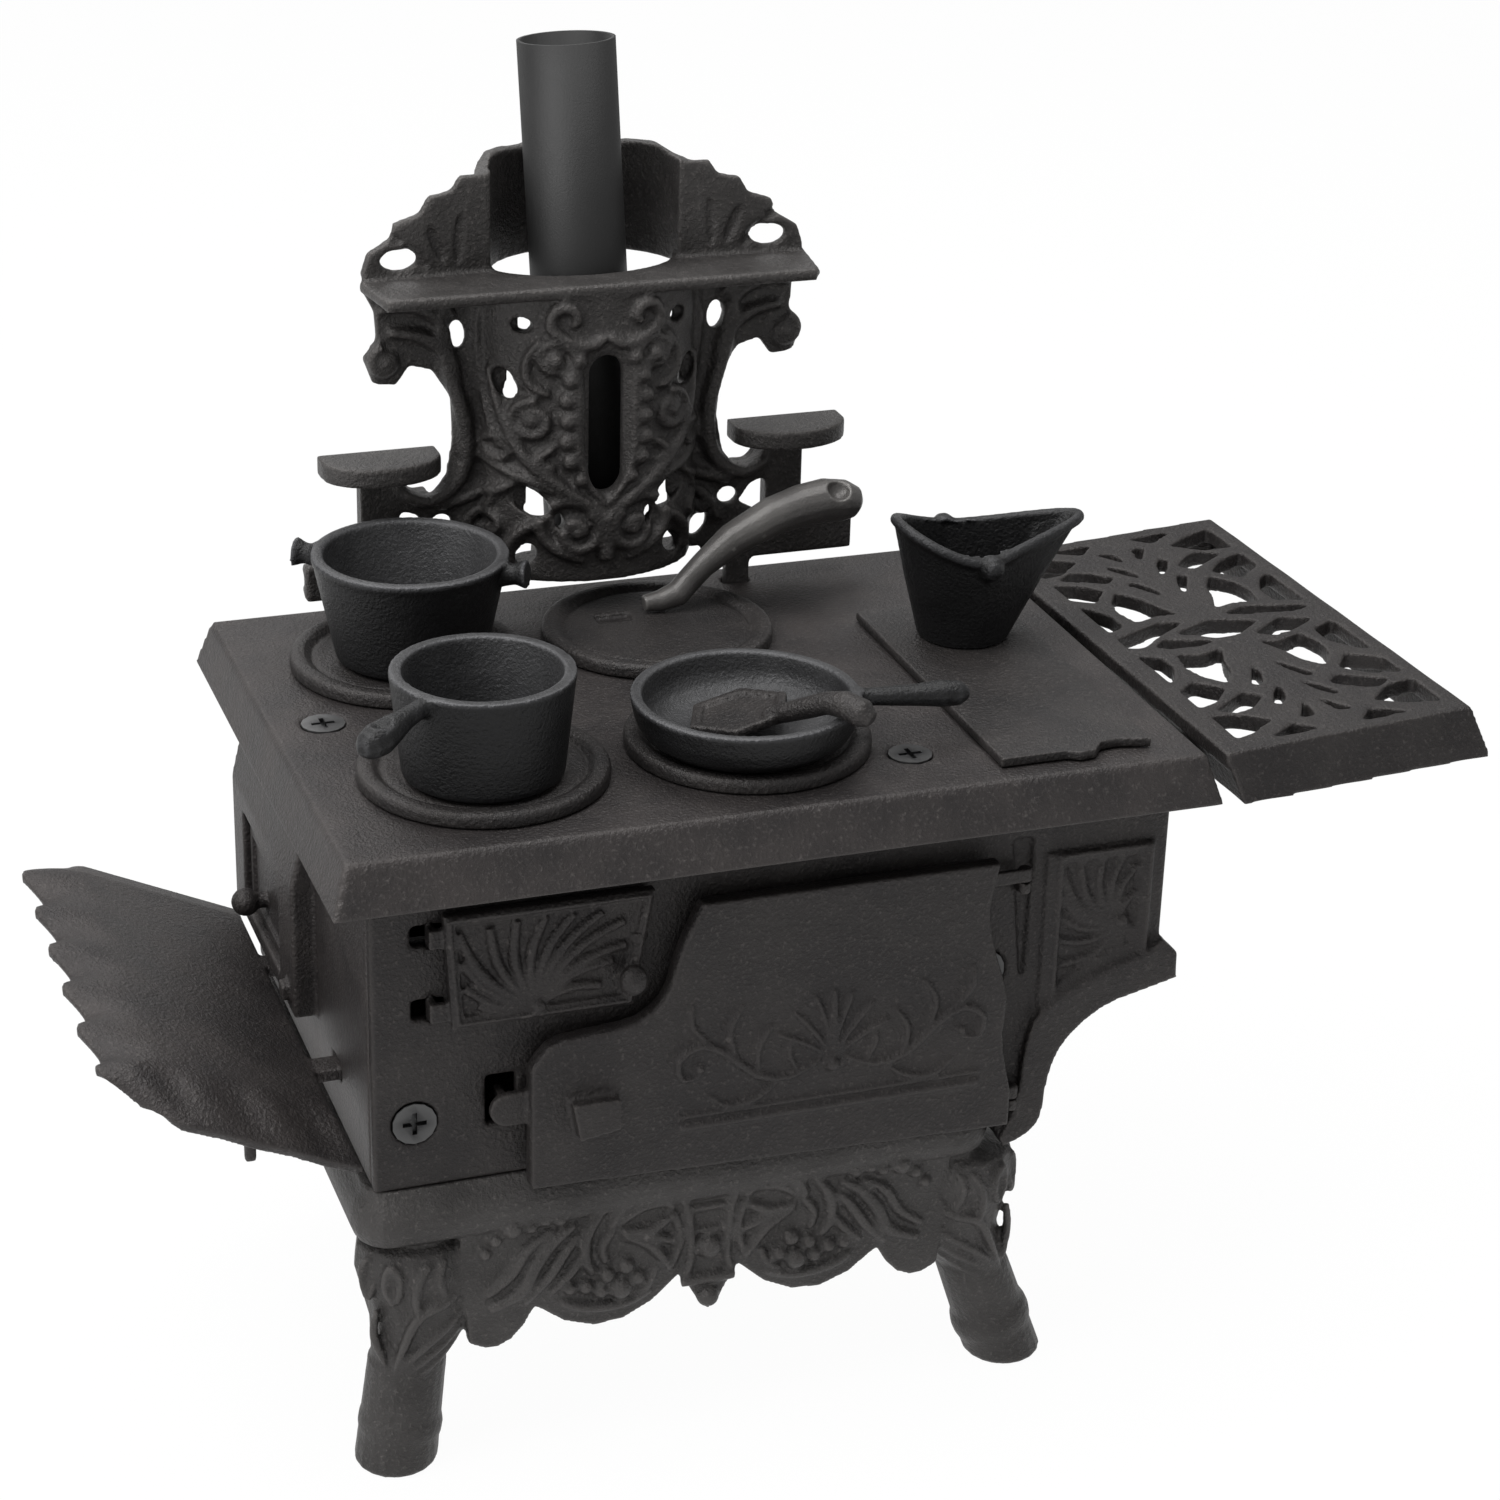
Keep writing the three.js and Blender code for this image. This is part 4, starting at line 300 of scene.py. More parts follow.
def turned(name, profile, centre, sides=96):
    """A turned solid: a disc is drawn out ring by ring along a profile of (radius, height)."""
    deselect()
    radius, height = profile[0]
    bpy.ops.mesh.primitive_circle_add(vertices=sides, radius=radius * MM, fill_type="NGON",
                                      location=centre + Vector((0, 0, height * MM)))
    piece = bpy.context.object
    piece.name = name
    bpy.ops.object.mode_set(mode="EDIT")
    bpy.ops.mesh.select_all(action="SELECT")
    for next_radius, next_height in profile[1:]:
        lift = (next_height - height) * MM
        bpy.ops.mesh.extrude_region_move(TRANSFORM_OT_translate={"value": (0, 0, lift)})
        scale = next_radius / radius
        bpy.ops.transform.resize(value=(scale, scale, 1))
        radius, height = next_radius, next_height
    bpy.ops.mesh.select_all(action="SELECT")
    bpy.ops.mesh.normals_make_consistent(inside=False)
    bpy.ops.object.mode_set(mode="OBJECT")
    return freeze()


def drum(point, toward, radius, end_radius=None, sides=40):
    """A short round bar from one point to another."""
    run = toward - point
    deselect()
    bpy.ops.mesh.primitive_cone_add(
        vertices=sides, radius1=radius * MM, radius2=(end_radius or radius) * MM, depth=run.length,
        location=(point + toward) / 2, rotation=run.to_track_quat("Z", "Y").to_euler())
    return freeze()


def ball(point, radius, flat=(1, 1, 1)):
    """A ball, or a flattened one."""
    deselect()
    bpy.ops.mesh.primitive_ico_sphere_add(subdivisions=3, radius=radius * MM, location=point, scale=flat)
    return freeze()


def bar(low, high):
    """A square block between its lowest and highest corners."""
    deselect()
    bpy.ops.mesh.primitive_cube_add(size=1, location=(low + high) / 2, scale=high - low)
    return freeze()


# Ornament drawn flat, as lines of (across, up, radius), then laid on a face

def scroll(cx, cy, start, end, turn_from, turn_to, thick, steps=26):
    """A spiral rib that winds in from one radius to another."""
    line = []
    for k in range(steps + 1):
        share = k / steps
        angle = math.radians(turn_from + (turn_to - turn_from) * share)
        reach = start + (end - start) * share
        line.append((cx + reach * math.cos(angle), cy + reach * math.sin(angle), thick * (1 - 0.3 * share)))
    return line


def sweep(points, thick, steps=14, ends=0.35):
    """A smooth rib through points, slim at its ends and full in its middle."""
    line = []
    count = len(points) - 1
    for k in range(steps + 1):
        share = k / steps * count
        i = min(int(share), count - 1)
        t = share - i
        p0, p1, p2, p3 = (points[max(0, min(count, i + j))] for j in (-1, 0, 1, 2))
        spot = [0.5 * (2 * b + (c - a) * t + (2 * a - 5 * b + 4 * c - d) * t * t
                       + (3 * b - a - 3 * c + d) * t ** 3)
                for a, b, c, d in zip(p0, p1, p2, p3)]
        full = math.sin(math.pi * (0.08 + 0.84 * k / steps))
        line.append((spot[0], spot[1], thick * (ends + (1 - ends) * full)))
    return line


def fan(cx, cy, tips, thick, droop=0.12):
    """Leaf ribs that spread from one point and thicken towards their tips."""
    lines = []
    for u, v in tips:
        du, dv = u - cx, v - cy
        line = []
        for k in range(9):
            share = k / 8
            bow = droop * math.sin(math.pi * share)
            full = thick * (0.45 + 0.75 * share * (1.25 - share))
            line.append((cx + du * share - dv * bow, cy + dv * share + du * bow, full))
        lines.append(line)
    return lines


def both_sides(lines):
    return lines + [[(-u, v, r) for u, v, r in line] for line in lines]


def mirrored(beads):
    return [(side * u, v, r) for u, v, r in beads for side in (-1, 1)]


def relief(lines, beads, place):
    """Ribs and round beads laid on a face: place gives the point for (across, up)."""
    parts = [strokes([[(place(u, v), r) for u, v, r in line] for line in lines])]
    parts += [ball(place(u, v), r) for u, v, r in beads]
    return parts


# Backsplash ornament, across from the middle of the panel and up from the floor

def panel_face(u):
    """How far back the front face of the panel lies: it swells forward in front of the pipe."""
    inside = 1 - (u / BULGE_HALF) ** 2
    return min(WING_FACE, PANEL_PLANE - BULGE_OUT * math.sqrt(inside)) if inside > 0 else WING_FACE


def on_panel(u, v):
    """The middle line of a rib, a little proud of the face of the panel."""
    return at(PANEL_MIDDLE + u, panel_face(u) - 0.9, v)


def in_panel(u, v):
    """The middle of the panel's thickness."""
    return at(PANEL_MIDDLE + u, panel_face(u) + 1.2, v)


def on_crest(u, v):
    return at(PANEL_MIDDLE + u, WING_FACE, v)


PANEL_RIBS = [
    sweep([(1.0, 232.5), (5.6, 230.4), (7.2, 226), (7.0, 216), (7.0, 205), (4.8, 197), (0.0, 191)], 1.3),
    sweep([(25.6, 224), (23.4, 213), (19.4, 204), (13.4, 198), (6.0, 192.6), (0.2, 188.4)], 1.7),
    sweep([(28, 201.5), (21.2, 198.6), (14, 196), (8, 192.4)], 1.3),
    sweep([(0.6, 233), (3.6, 230.8), (9.4, 232.2), (13.4, 235.4), (12.2, 239.6), (8.6, 240),
           (7.2, 237.2), (8.8, 235.8)], 1.5),
    scroll(12.2, 227.6, 5.0, 2.4, 230, -160, 1.25),
    sweep([(15.6, 232.6), (18.6, 227), (18, 221.6), (13.6, 218.8)], 1.2),
    scroll(17.2, 212.4, 5.0, 1.3, 100, -420, 1.3),
    sweep([(12.6, 206), (16, 202.6), (12.4, 200.4)], 1.2),
    scroll(23.9, 204.2, 3.6, 1.0, 150, -300, 1.15),
    scroll(7.0, 184.6, 5.8, 1.4, 120, 560, 1.5),
    sweep([(2.8, 189.6), (9.4, 192.6), (14.8, 189.8), (15.4, 184.2), (11.6, 179.8), (5.4, 177.4)], 1.5),
    sweep([(15.2, 187.4), (19.4, 184.6), (22.0, 180.4), (22.4, 175.0)], 1.5),
    scroll(26.4, 184.4, 4.2, 1.3, -60, 330, 1.3),
    sweep([(37, 188.6), (31, 190.4), (26, 192.6), (20.6, 196.6)], 1.5),
    sweep([(24.6, 192.4), (26.6, 187.8), (30.8, 184.6), (33.6, 178.4)], 1.3),
    sweep([(35.4, 241), (36.6, 232), (34.0, 221), (30.8, 210), (30.6, 200), (34.0, 193.2), (40, 190.2),
           (45.4, 192.6)], 2.0),
    sweep([(32.2, 220), (34.6, 226.6), (40.6, 231.4), (48.4, 232.8)], 1.7),
    sweep([(32.8, 228), (37.6, 236), (44.6, 239.2), (51, 238.4)], 1.5),
    sweep([(33, 236), (38, 240.4), (44, 241.8)], 1.2),
    scroll(49.6, 226.0, 3.7, 1.0, 80, -330, 1.4),
    sweep([(26.8, 240), (27.6, 230), (26.6, 219), (25.4, 208)], 1.0),
]
PANEL_BEADS = [
    (6.9, 227.6, 1.9), (8.7, 222.8, 2.2), (9.6, 217.8, 2.2), (9.3, 212.8, 2.3), (9.6, 207.6, 2.2),
    (8.7, 202.6, 2.1), (6.2, 198.0, 1.8), (12.2, 227.6, 2.1), (17.2, 212.4, 1.6), (7.0, 184.6, 1.6),
    (49.6, 226.0, 1.9),
]
# Slits carved in the crest: across, up, half width, half height, lean in degrees
CREST_SLITS = [
    (31.0, 253.6, 1.5, 6.2, -4), (36.4, 252.6, 1.5, 5.0, 22), (41.4, 250.2, 1.4, 4.2, 42),
    (46.8, 255.0, 1.3, 2.7, 60),
]
# Openings in the panel: across, up, half width, half height, lean in degrees
OPENINGS = [
    (19.0, 235.2, 2.3, 1.9, 0), (22.4, 220.4, 2.4, 4.0, 20), (17.7, 191.8, 5.4, 3.0, -35),
    (10.9, 187.0, 1.0, 2.3, 10), (18.2, 178.0, 2.3, 3.2, -30), (28.6, 177.6, 2.0, 3.4, 30),
    (36.4, 184.2, 2.6, 2.2, 0), (32.0, 231.0, 1.9, 3.6, 6),
]
# Middles of the round openings that the plain panel has, which are plugged before the new ones are cut
ROUND_OPENINGS = [(16.8, 229.0), (19.6, 217.3), (14.6, 188.0), (31.0, 187.5), (17.5, 176.5)]


def lens(u, v, wide, tall, lean, deep=9, place=on_panel):
    """A round-cornered cutter through a face."""
    centre = place(u, v)
    deselect()
    bpy.ops.mesh.primitive_cylinder_add(vertices=12, radius=MM, depth=deep * MM, location=(0, 0, 0))
    piece = bpy.context.object
    turn = Matrix.Rotation(math.radians(lean), 4, "Y") @ Matrix.Rotation(math.radians(90), 4, "X")
    piece.data.transform(Matrix.Translation(centre) @ turn @ Matrix.Diagonal((wide, tall, 1, 1)))
    return piece


def lens_pairs(openings, **settings):
    """Cutters for openings on both sides of the middle."""
    return [lens(side * u, v, wide, tall, side * lean, **settings)
            for u, v, wide, tall, lean in openings for side in (-1, 1)]


PLUG_RADIUS = 4.4


def plug(u, v):
    """Fills a round opening of the plain panel and follows its swell."""
    piece = lens(u, v, PLUG_RADIUS, PLUG_RADIUS, 0, deep=2.0, place=in_panel)
    middle = at(PANEL_MIDDLE, 0, 0).x
    for vertex in piece.data.vertices:
        vertex.co.y += (panel_face((vertex.co.x - middle) / MM) - panel_face(u)) * MM
    return piece


BACKSPLASH_GRID = 0.6
# The underside of the trivets, how far it is lowered, and how near a height has to be to count as it
TRIVET_UNDERSIDE = 199.7
TRIVET_DROP = 1.5
SAME_HEIGHT = 0.02
# The ledge's bar: half its length, how far it stands forward of the panel, and its heights
LEDGE_HALF = 52.4
LEDGE_FORWARD = (14.6, 17.6)
LEDGE_HEIGHTS = (242.4, 245.3)
# The ribs that close the ledge at each side: their ends, as across and forward, height and radius
LEDGE_END = ((54.0, 0.6), (52.0, 15.8))
LEDGE_END_Z = 243.9
LEDGE_END_RADIUS = 1.4


def make_backsplash():
    cast = casting_copy("backsplash")
    for vertex in cast.data.vertices:
        if abs(vertex.co.z - TRIVET_UNDERSIDE * MM) < SAME_HEIGHT * MM:
            vertex.co.z -= TRIVET_DROP * MM
    plugs = [plug(side * u, v) for u, v in ROUND_OPENINGS for side in (-1, 1)]
    ribs = relief(both_sides(PANEL_RIBS), mirrored(PANEL_BEADS), on_panel)
    ribs += [strokes([[(on_panel(0, 188.6), 1.8), (on_panel(0, 183), 1.6), (on_panel(0, 177.5), 1.9)]])]
    brackets = [trivet_bracket(side) for side in (-1, 1)]
    ledge_ends = strokes([[(at(PANEL_MIDDLE + side * u, PANEL_PLANE - y, LEDGE_END_Z), LEDGE_END_RADIUS)
                           for u, y in LEDGE_END] for side in (-1, 1)])
    ledge_lip = bar(at(PANEL_MIDDLE - LEDGE_HALF, PANEL_PLANE - LEDGE_FORWARD[1], LEDGE_HEIGHTS[0]),
                    at(PANEL_MIDDLE + LEDGE_HALF, PANEL_PLANE - LEDGE_FORWARD[0], LEDGE_HEIGHTS[1]))
    cast = join([cast] + plugs + ribs + [ledge_ends, ledge_lip] + brackets)
    use(cast, "REMESH", mode="VOXEL", voxel_size=BACKSPLASH_GRID * MM, adaptivity=0)
    cut(cast, join(lens_pairs(OPENINGS) + lens_pairs(CREST_SLITS, deep=4.4, place=on_crest)))
    soften(cast, BACKSPLASH_GRID, rounds=2)
    finish(cast, "range", base_iron_painted_light, "backsplash")


def trivet_bracket(side):
    """Three ribs that curl out from the panel and carry a trivet."""
    run = sweep([(38.5, 190.5), (43, 190.2), (46.5, 194), (48, 199.5)], 1.7, ends=0.8)
    return strokes([[(at(PANEL_MIDDLE + side * u, PANEL_PLANE + y, v), r) for u, v, r in run]
                    for y in (-1.2, 1.6, 4.4)])


# Base ornament, across from the middle of the vase and up from the floor

APRON_MIDDLE = -14.5
# How far from the middle of the cooktop the relief lies, at the front (-1) and at the back (1)
APRON_RELIEF = {-1: 61.7, 1: 59.7}
APRON_RIBS = [
    sweep([(9.4, 66.4), (5.8, 61), (4.6, 54), (4.3, 46), (6.2, 40)], 1.2),
    [(0, 67.2, 1.5), (9.2, 67.2, 1.4)],
    [(0, 62.6, 0.9), (5.4, 62.6, 0.8)],
    [(0, 59.2, 0.8), (4.6, 59.2, 0.7)],
    [(0, 40.2, 1.5), (6.4, 40.2, 1.3)],
    [(0, 53.2, 0.7), (4, 53.2, 0.6)],
    sweep([(21, 56.4), (14.6, 55.8), (8.4, 59)], 1.4),
    sweep([(20.6, 55.4), (14, 51.6), (9.0, 44.4)], 1.4),
    sweep([(18.6, 56), (12.6, 53.6), (8.2, 51.6)], 1.2),
    sweep([(8.4, 59), (6.9, 52), (9.2, 44.4)], 1.1),
    sweep([(23.4, 58.2), (20, 63.8), (13, 65), (8.6, 60.6)], 1.7),
    sweep([(21.8, 58.4), (16.4, 62.2), (10.4, 62.2)], 1.3),
    sweep([(25.6, 62.4), (29.2, 57), (29.6, 51), (27.4, 46.6)], 1.5),
    sweep([(22.6, 57.6), (25.4, 53.4), (24.6, 49)], 1.1),
    sweep([(32, 60.4), (37, 57), (41.2, 51.6), (44.6, 45), (52, 41.4)], 1.8),
    sweep([(31, 57.6), (34.6, 53.4), (38.4, 47.6), (44, 41.8)], 1.5),
    sweep([(37, 59.8), (43, 56), (46.8, 50), (52.6, 45.2)], 1.4),
    sweep([(29.4, 53), (32.6, 48.2), (37.4, 43.4)], 1.2),
    sweep([(14, 39.6), (19, 37.6), (25, 37.2), (31, 38.2), (35, 40)], 1.3),
    sweep([(12.4, 46), (14.6, 41.6), (17.8, 39.4)], 1.1),
]
APRON_BEADS = [
    (20, 47.4, 2.1), (24.4, 45.6, 1.9), (25.8, 41.8, 1.9), (21.2, 41.8, 2.8), (17.2, 43.8, 1.9),
    (29.4, 43.4, 1.7), (33.2, 43.6, 1.5), (35.6, 62.6, 1.7), (39, 63.2, 1.8), (42.4, 61.8, 1.7),
    (46.8, 62.4, 2.6), (50.6, 59.6, 1.6), (53, 56.4, 1.4),
]
# Each leg as knee across, ankle across, middle from front to back, and whether it is a right-hand one
FRONT_LEGS = ((-80.8, -83.2, -50.5, False), (50.8, 56.4, -50.5, True))
BACK_LEGS = ((-69.3, -67.1, 48.4, False), (42.2, 44.4, 48.4, True))
# Middles of the rounded feet, with the radius of a foot and the height of its middle
FEET = ((-85.2, -52.1), (61.8, -52.1), (46.4, 49.4), (-64.7, 49.4))
FOOT_RADIUS = 9.8
FOOT_HEIGHT = 9.6
# The shin: where its swelling starts and how tall it is, the ankle's radius and how much the knee adds
SHIN_LOW = 26
SHIN_TALL = 20
ANKLE_RADIUS = 8.3
KNEE_WIDER = 5.9
KNEE_DEEPER = 3.5
# Leaf that wraps the shin, as turn in degrees about the leg and height from the floor
LEAF = [
    sweep([(-122, 25), (-112, 34), (-98, 43), (-70, 46), (-44, 50), (-36, 58)], 1.3),
    sweep([(-118, 25), (-96, 32), (-72, 38), (-50, 43), (-34, 50)], 1.2),
    sweep([(-108, 25), (-84, 30), (-60, 35), (-42, 41)], 1.2),
    sweep([(-98, 24), (-74, 27), (-54, 31), (-38, 36)], 1.2),
    sweep([(-98, 43), (-101, 48), (-97, 53), (-88, 56)], 1.3),
    sweep([(-70, 46), (-78, 50), (-79, 54), (-73, 57)], 1.3),
    sweep([(-70, 46), (-56, 50), (-52, 54), (-57, 57)], 1.3),
    [(turn, 25.6, 0.6) for turn in range(-180, 181, 12)],
    sweep([(-44, 50), (-34, 54), (-26, 57)], 1.2),
    sweep([(-122, 46), (-130, 51), (-124, 56), (-115, 53), (-118, 47)], 1.2),
    sweep([(-150, 57), (-158, 53), (-150, 47), (-142, 51)], 1.1),
    sweep([(-140, 44), (-146, 36), (-136, 28)], 1.1),
]


def on_leg(place, way):
    """Turns and heights on the swelling shin of a leg; way is -1 at the front and 1 at the back."""
    knee_x, ankle_x, y, right_hand = place

    def spot(turn, z):
        share = max(0.0, min(1.0, (z - SHIN_LOW) / SHIN_TALL))
        swell = math.sin(share * math.pi / 2)
        angle = math.radians(180 - turn if right_hand else turn)
        x = ankle_x + (knee_x - ankle_x) * swell
        wide = ANKLE_RADIUS + KNEE_WIDER * swell
        deep = ANKLE_RADIUS + KNEE_DEEPER * swell
        return at(x + wide * math.cos(angle), y - way * deep * math.sin(angle), z)
    return spot


def make_base():
    cast = casting_copy("base")
    parts = []
    for way in (-1, 1):
        def on_apron(u, v, way=way):
            return at(APRON_MIDDLE + u, way * APRON_RELIEF[way], v)
        beads = mirrored(APRON_BEADS) + [(0, 35.4, 2.7), (0, 49, 3.0)]
        parts += relief(both_sides(APRON_RIBS), beads, on_apron)
        for place in FRONT_LEGS if way < 0 else BACK_LEGS:
            parts += relief(LEAF, [], on_leg(place, way))
    parts += [ball(at(x, y, FOOT_HEIGHT), FOOT_RADIUS, flat=(1, 1, 0.94)) for x, y in FEET]
    cast = join([cast] + parts)
    soften(cast, 0.62, rounds=1, most=190000)
    finish(cast, "range", base_iron_painted_light, "base")


# Doors and panels; tips are where the leaf ribs end, as across and up

# How far forward the middle lines of the leaves and of the bead round them lie
FIRE_DOOR_LEAF_Y = -62.9
FIRE_DOOR_BEAD_Y = -63.7
FRONT_LEAF_Y = -60.2
FRONT_BEAD_Y = -61.2
BEAD_RADIUS = 0.8


def make_fire_door():
    tips = [
        (-73.4, 138.6), (-72.6, 131.6), (-72, 125.4), (-69, 120.6), (-66.4, 139), (-60.4, 139.9),
        (-54, 140), (-47.6, 139.8), (-41.2, 139.2), (-36.2, 136.4), (-35.8, 130.6), (-38.6, 127),
        (-41.4, 121.4),
    ]
    ribs = relief(fan(-55.6, 118.8, tips, 1.6), [(-55.6, 118.6, 2.0)],
                  lambda u, v: at(u, FIRE_DOOR_LEAF_Y, v))
    knob = [ball(at(-35.0, -66.4, 123.2), 3.2, flat=(1, 0.8, 1.15)),
            drum(at(-33.6, -64, 131.6), at(-31.4, -61.4, 131.6), 1.4)]
    frame_bead = strokes([[(at(x, FIRE_DOOR_BEAD_Y, z), BEAD_RADIUS) for x, z in (
        (-75.5, 142.1), (-73.6, 117), (-35, 117), (-30.6, 142.1), (-75.5, 142.1))]])
    cast = join([casting_copy("fire_door")] + ribs + knob + [frame_bead])
    soften(cast, 0.38, rounds=2)
    finish(cast, "fire_door", door_iron_painted_shade, "fire_door")


def make_front_panel():
    tips = [
        (69.2, 132.4), (68.6, 127), (68.6, 121), (68.8, 114.6), (69.6, 108), (71.6, 102), (77, 104.6),
        (82.4, 107.6), (87.6, 110.4), (73.6, 134.2), (79.2, 134.4), (84.6, 134.4), (88, 131), (88, 124),
    ]
    ribs = relief(fan(84.6, 117.4, tips, 1.3, droop=0.18), [(84.6, 117.4, 1.9)],
                  lambda u, v: at(u, FRONT_LEAF_Y, v))
    rim = strokes([[(at(x, FRONT_BEAD_Y, z), BEAD_RADIUS) for x, z in (
        (68.2, 99.2), (78, 104.4), (90.8, 108.4), (90.8, 136.2), (68.2, 136.2), (68.2, 99.2))]])
    cast = join([casting_copy("front_panel")] + ribs + [rim])
    soften(cast, 0.62, rounds=2, most=150000)
    finish(cast, "range", door_iron_painted_shade, "front_panel")


# A plain spray of scrolls and a shell fills the field of the oven door
OVEN_MIDDLE = 12.0
OVEN_RELIEF_Y = -66.9
# The hinge pin, and the height its bottom is raised to, clear of the floor of its lug
OVEN_PIN = (58.7, -62.6)
OVEN_PIN_REACH = 2
OVEN_PIN_BOTTOM = 75.2
OVEN_RIBS = [
    sweep([(3, 96.6), (10, 93.4), (18, 95), (25, 101.4), (31.4, 104.6), (36.6, 101.4), (35.4, 96.4),
           (31.2, 97.2)], 1.0),
    sweep([(12, 93.8), (17.6, 89.4), (24.6, 88.4), (29, 91.2)], 0.8),
    sweep([(22.6, 99.4), (24.6, 107), (21.6, 113)], 0.8),
    sweep([(17.4, 95.2), (17.8, 101.6), (14.6, 107)], 0.8),
    sweep([(28.6, 104), (33.4, 109.6), (33.4, 115)], 0.8),
    sweep([(8, 94.4), (10.4, 99.2), (9.4, 103.4)], 0.7),
    [(0, 84.4, 0.9), (36, 84.4, 0.9)],
    [(0, 87, 0.5), (36, 87, 0.5)],
]


def make_oven_door():
    def on_door(u, v):
        return at(OVEN_MIDDLE + u, OVEN_RELIEF_Y, v)
    shell = fan(0, 96.4, [(4.4, 112.4), (9.2, 109.2), (13, 104.4)], 0.95, droop=0.04)
    parts = relief(both_sides(OVEN_RIBS + shell) + [[(0, 96.4, 0.7), (0, 106, 1.1), (0, 113.6, 0.6)]],
                   [(0, 95.2, 1.9), (31.4, 98.6, 1.0), (-31.4, 98.6, 1.0)], on_door)
    plain = casting_copy("oven_door")
    pin = at(*OVEN_PIN, 0)
    bottom = OVEN_PIN_BOTTOM * MM
    for vertex in plain.data.vertices:
        away = math.hypot(vertex.co.x - pin.x, vertex.co.y - pin.y)
        if away < OVEN_PIN_REACH * MM and vertex.co.z < bottom:
            vertex.co.z = bottom
    cast = join([plain] + parts)
    soften(cast, 0.5, rounds=2)
    finish(cast, "oven_door", door_iron_painted_shade, "oven_door")


# Side shelf: a plate of tracery with a flared skirt

SHELF_CORNER = (103.2, -69.8, 161.0)
SHELF_WIDE = 63.0
SHELF_LONG = 128.4
PLATE_THICK = 4
# The skirt below the plate: how deep it hangs, how far its foot flares outward, and where the foot of
# its side at the cooktop stands
SKIRT_DEEP = 11.7
SKIRT_FLARE = 3.7
SKIRT_INNER_FOOT = 2.9
# How the shelf is turned in plan and tilted about its length, in degrees, with its outer side the higher
SHELF_TURN = 1.2
SHELF_TILT = -3.1
# The two hooked tongues: their middles from front to back, and half their width
TONGUE_PLACES = (-45.8, 34.6)
TONGUE_HALF = 4
# Openings of one quarter of the tracery, from the corner of the shelf; the other quarters mirror them
QUARTER = [
    [(4, 6), (4, 19.6), (11.4, 18.6), (18.4, 12.6), (11, 8.2)],
    [(13.4, 4), (21.6, 9), (26.4, 4)],
    [(24.6, 10.6), (30, 19.6), (28.6, 11)],
    [(8.8, 22), (19.2, 28.6), (22.6, 25.4), (17.4, 20.2), (13.2, 18.8)],
    [(23, 20.4), (25.8, 25.8), (29.2, 29.6), (27.2, 22.6), (24.4, 18.8)],
    [(4, 33), (11.2, 38.4), (16.4, 32), (11.2, 26.4), (4, 23.8)],
    [(23.2, 31.6), (26.4, 37.6), (29.4, 43.4), (28, 36), (25.4, 30.4)],
    [(14.8, 53.6), (21.2, 51.4), (26.4, 53), (23.4, 46), (22, 40), (18.4, 34.6), (14.6, 40), (13.4, 46)],
    [(4, 57.4), (10.6, 54.4), (10.8, 47.4), (7.6, 41), (4, 38.2)],
]
MIDDLE_BAND = [
    [(4, 66.8), (19, 72.6), (25.4, 70.8), (17.6, 66.2), (9.4, 60.6), (4, 62.6)],
    [(20.6, 65), (31.4, 69.4), (42.6, 64.8), (34.4, 58.8), (28.2, 59), (25, 61.8)],
    [(12.6, 60), (16, 63), (27.2, 57.8), (24.4, 56.4), (14.4, 57.4)],
    [(36.8, 71.4), (43.2, 73.8), (59, 67.8), (54.6, 66), (41.4, 69.2)],
    [(38.2, 57.8), (48, 64), (55.2, 60.4), (46.8, 55.6), (42, 55)],
]


def rounded(points, radius=0.8):
    """Softens the corners of an outline."""
    loop = []
    for k, here in enumerate(points):
        for other in (points[k - 1], points[(k + 1) % len(points)]):
            run = math.hypot(other[0] - here[0], other[1] - here[1])
            share = min(0.4, radius / run)
            loop.append((here[0] + (other[0] - here[0]) * share, here[1] + (other[1] - here[1]) * share))
    return loop


def tracery_plate(outline, holes, low, high):
    """A flat plate with openings, between two heights."""
    curve = bpy.data.curves.new("tracery", "CURVE")
    curve.dimensions = "2D"
    curve.fill_mode = "BOTH"
    curve.extrude = (high - low) / 2 * MM
    for loop in [outline] + holes:
        spline = curve.splines.new("POLY")
        spline.points.add(len(loop) - 1)
        spline.use_cyclic_u = True
        for spot, (x, y) in zip(spline.points, loop):
            spot.co = (x * MM, y * MM, 0, 1)
    piece = bpy.data.objects.new("tracery", curve)
    bpy.context.scene.collection.objects.link(piece)
    choose(piece)
    bpy.ops.object.convert(target="MESH")
    piece = bpy.context.object
    piece.data.transform(Matrix.Translation((0, 0, (high + low) / 2 * MM)))
    return piece


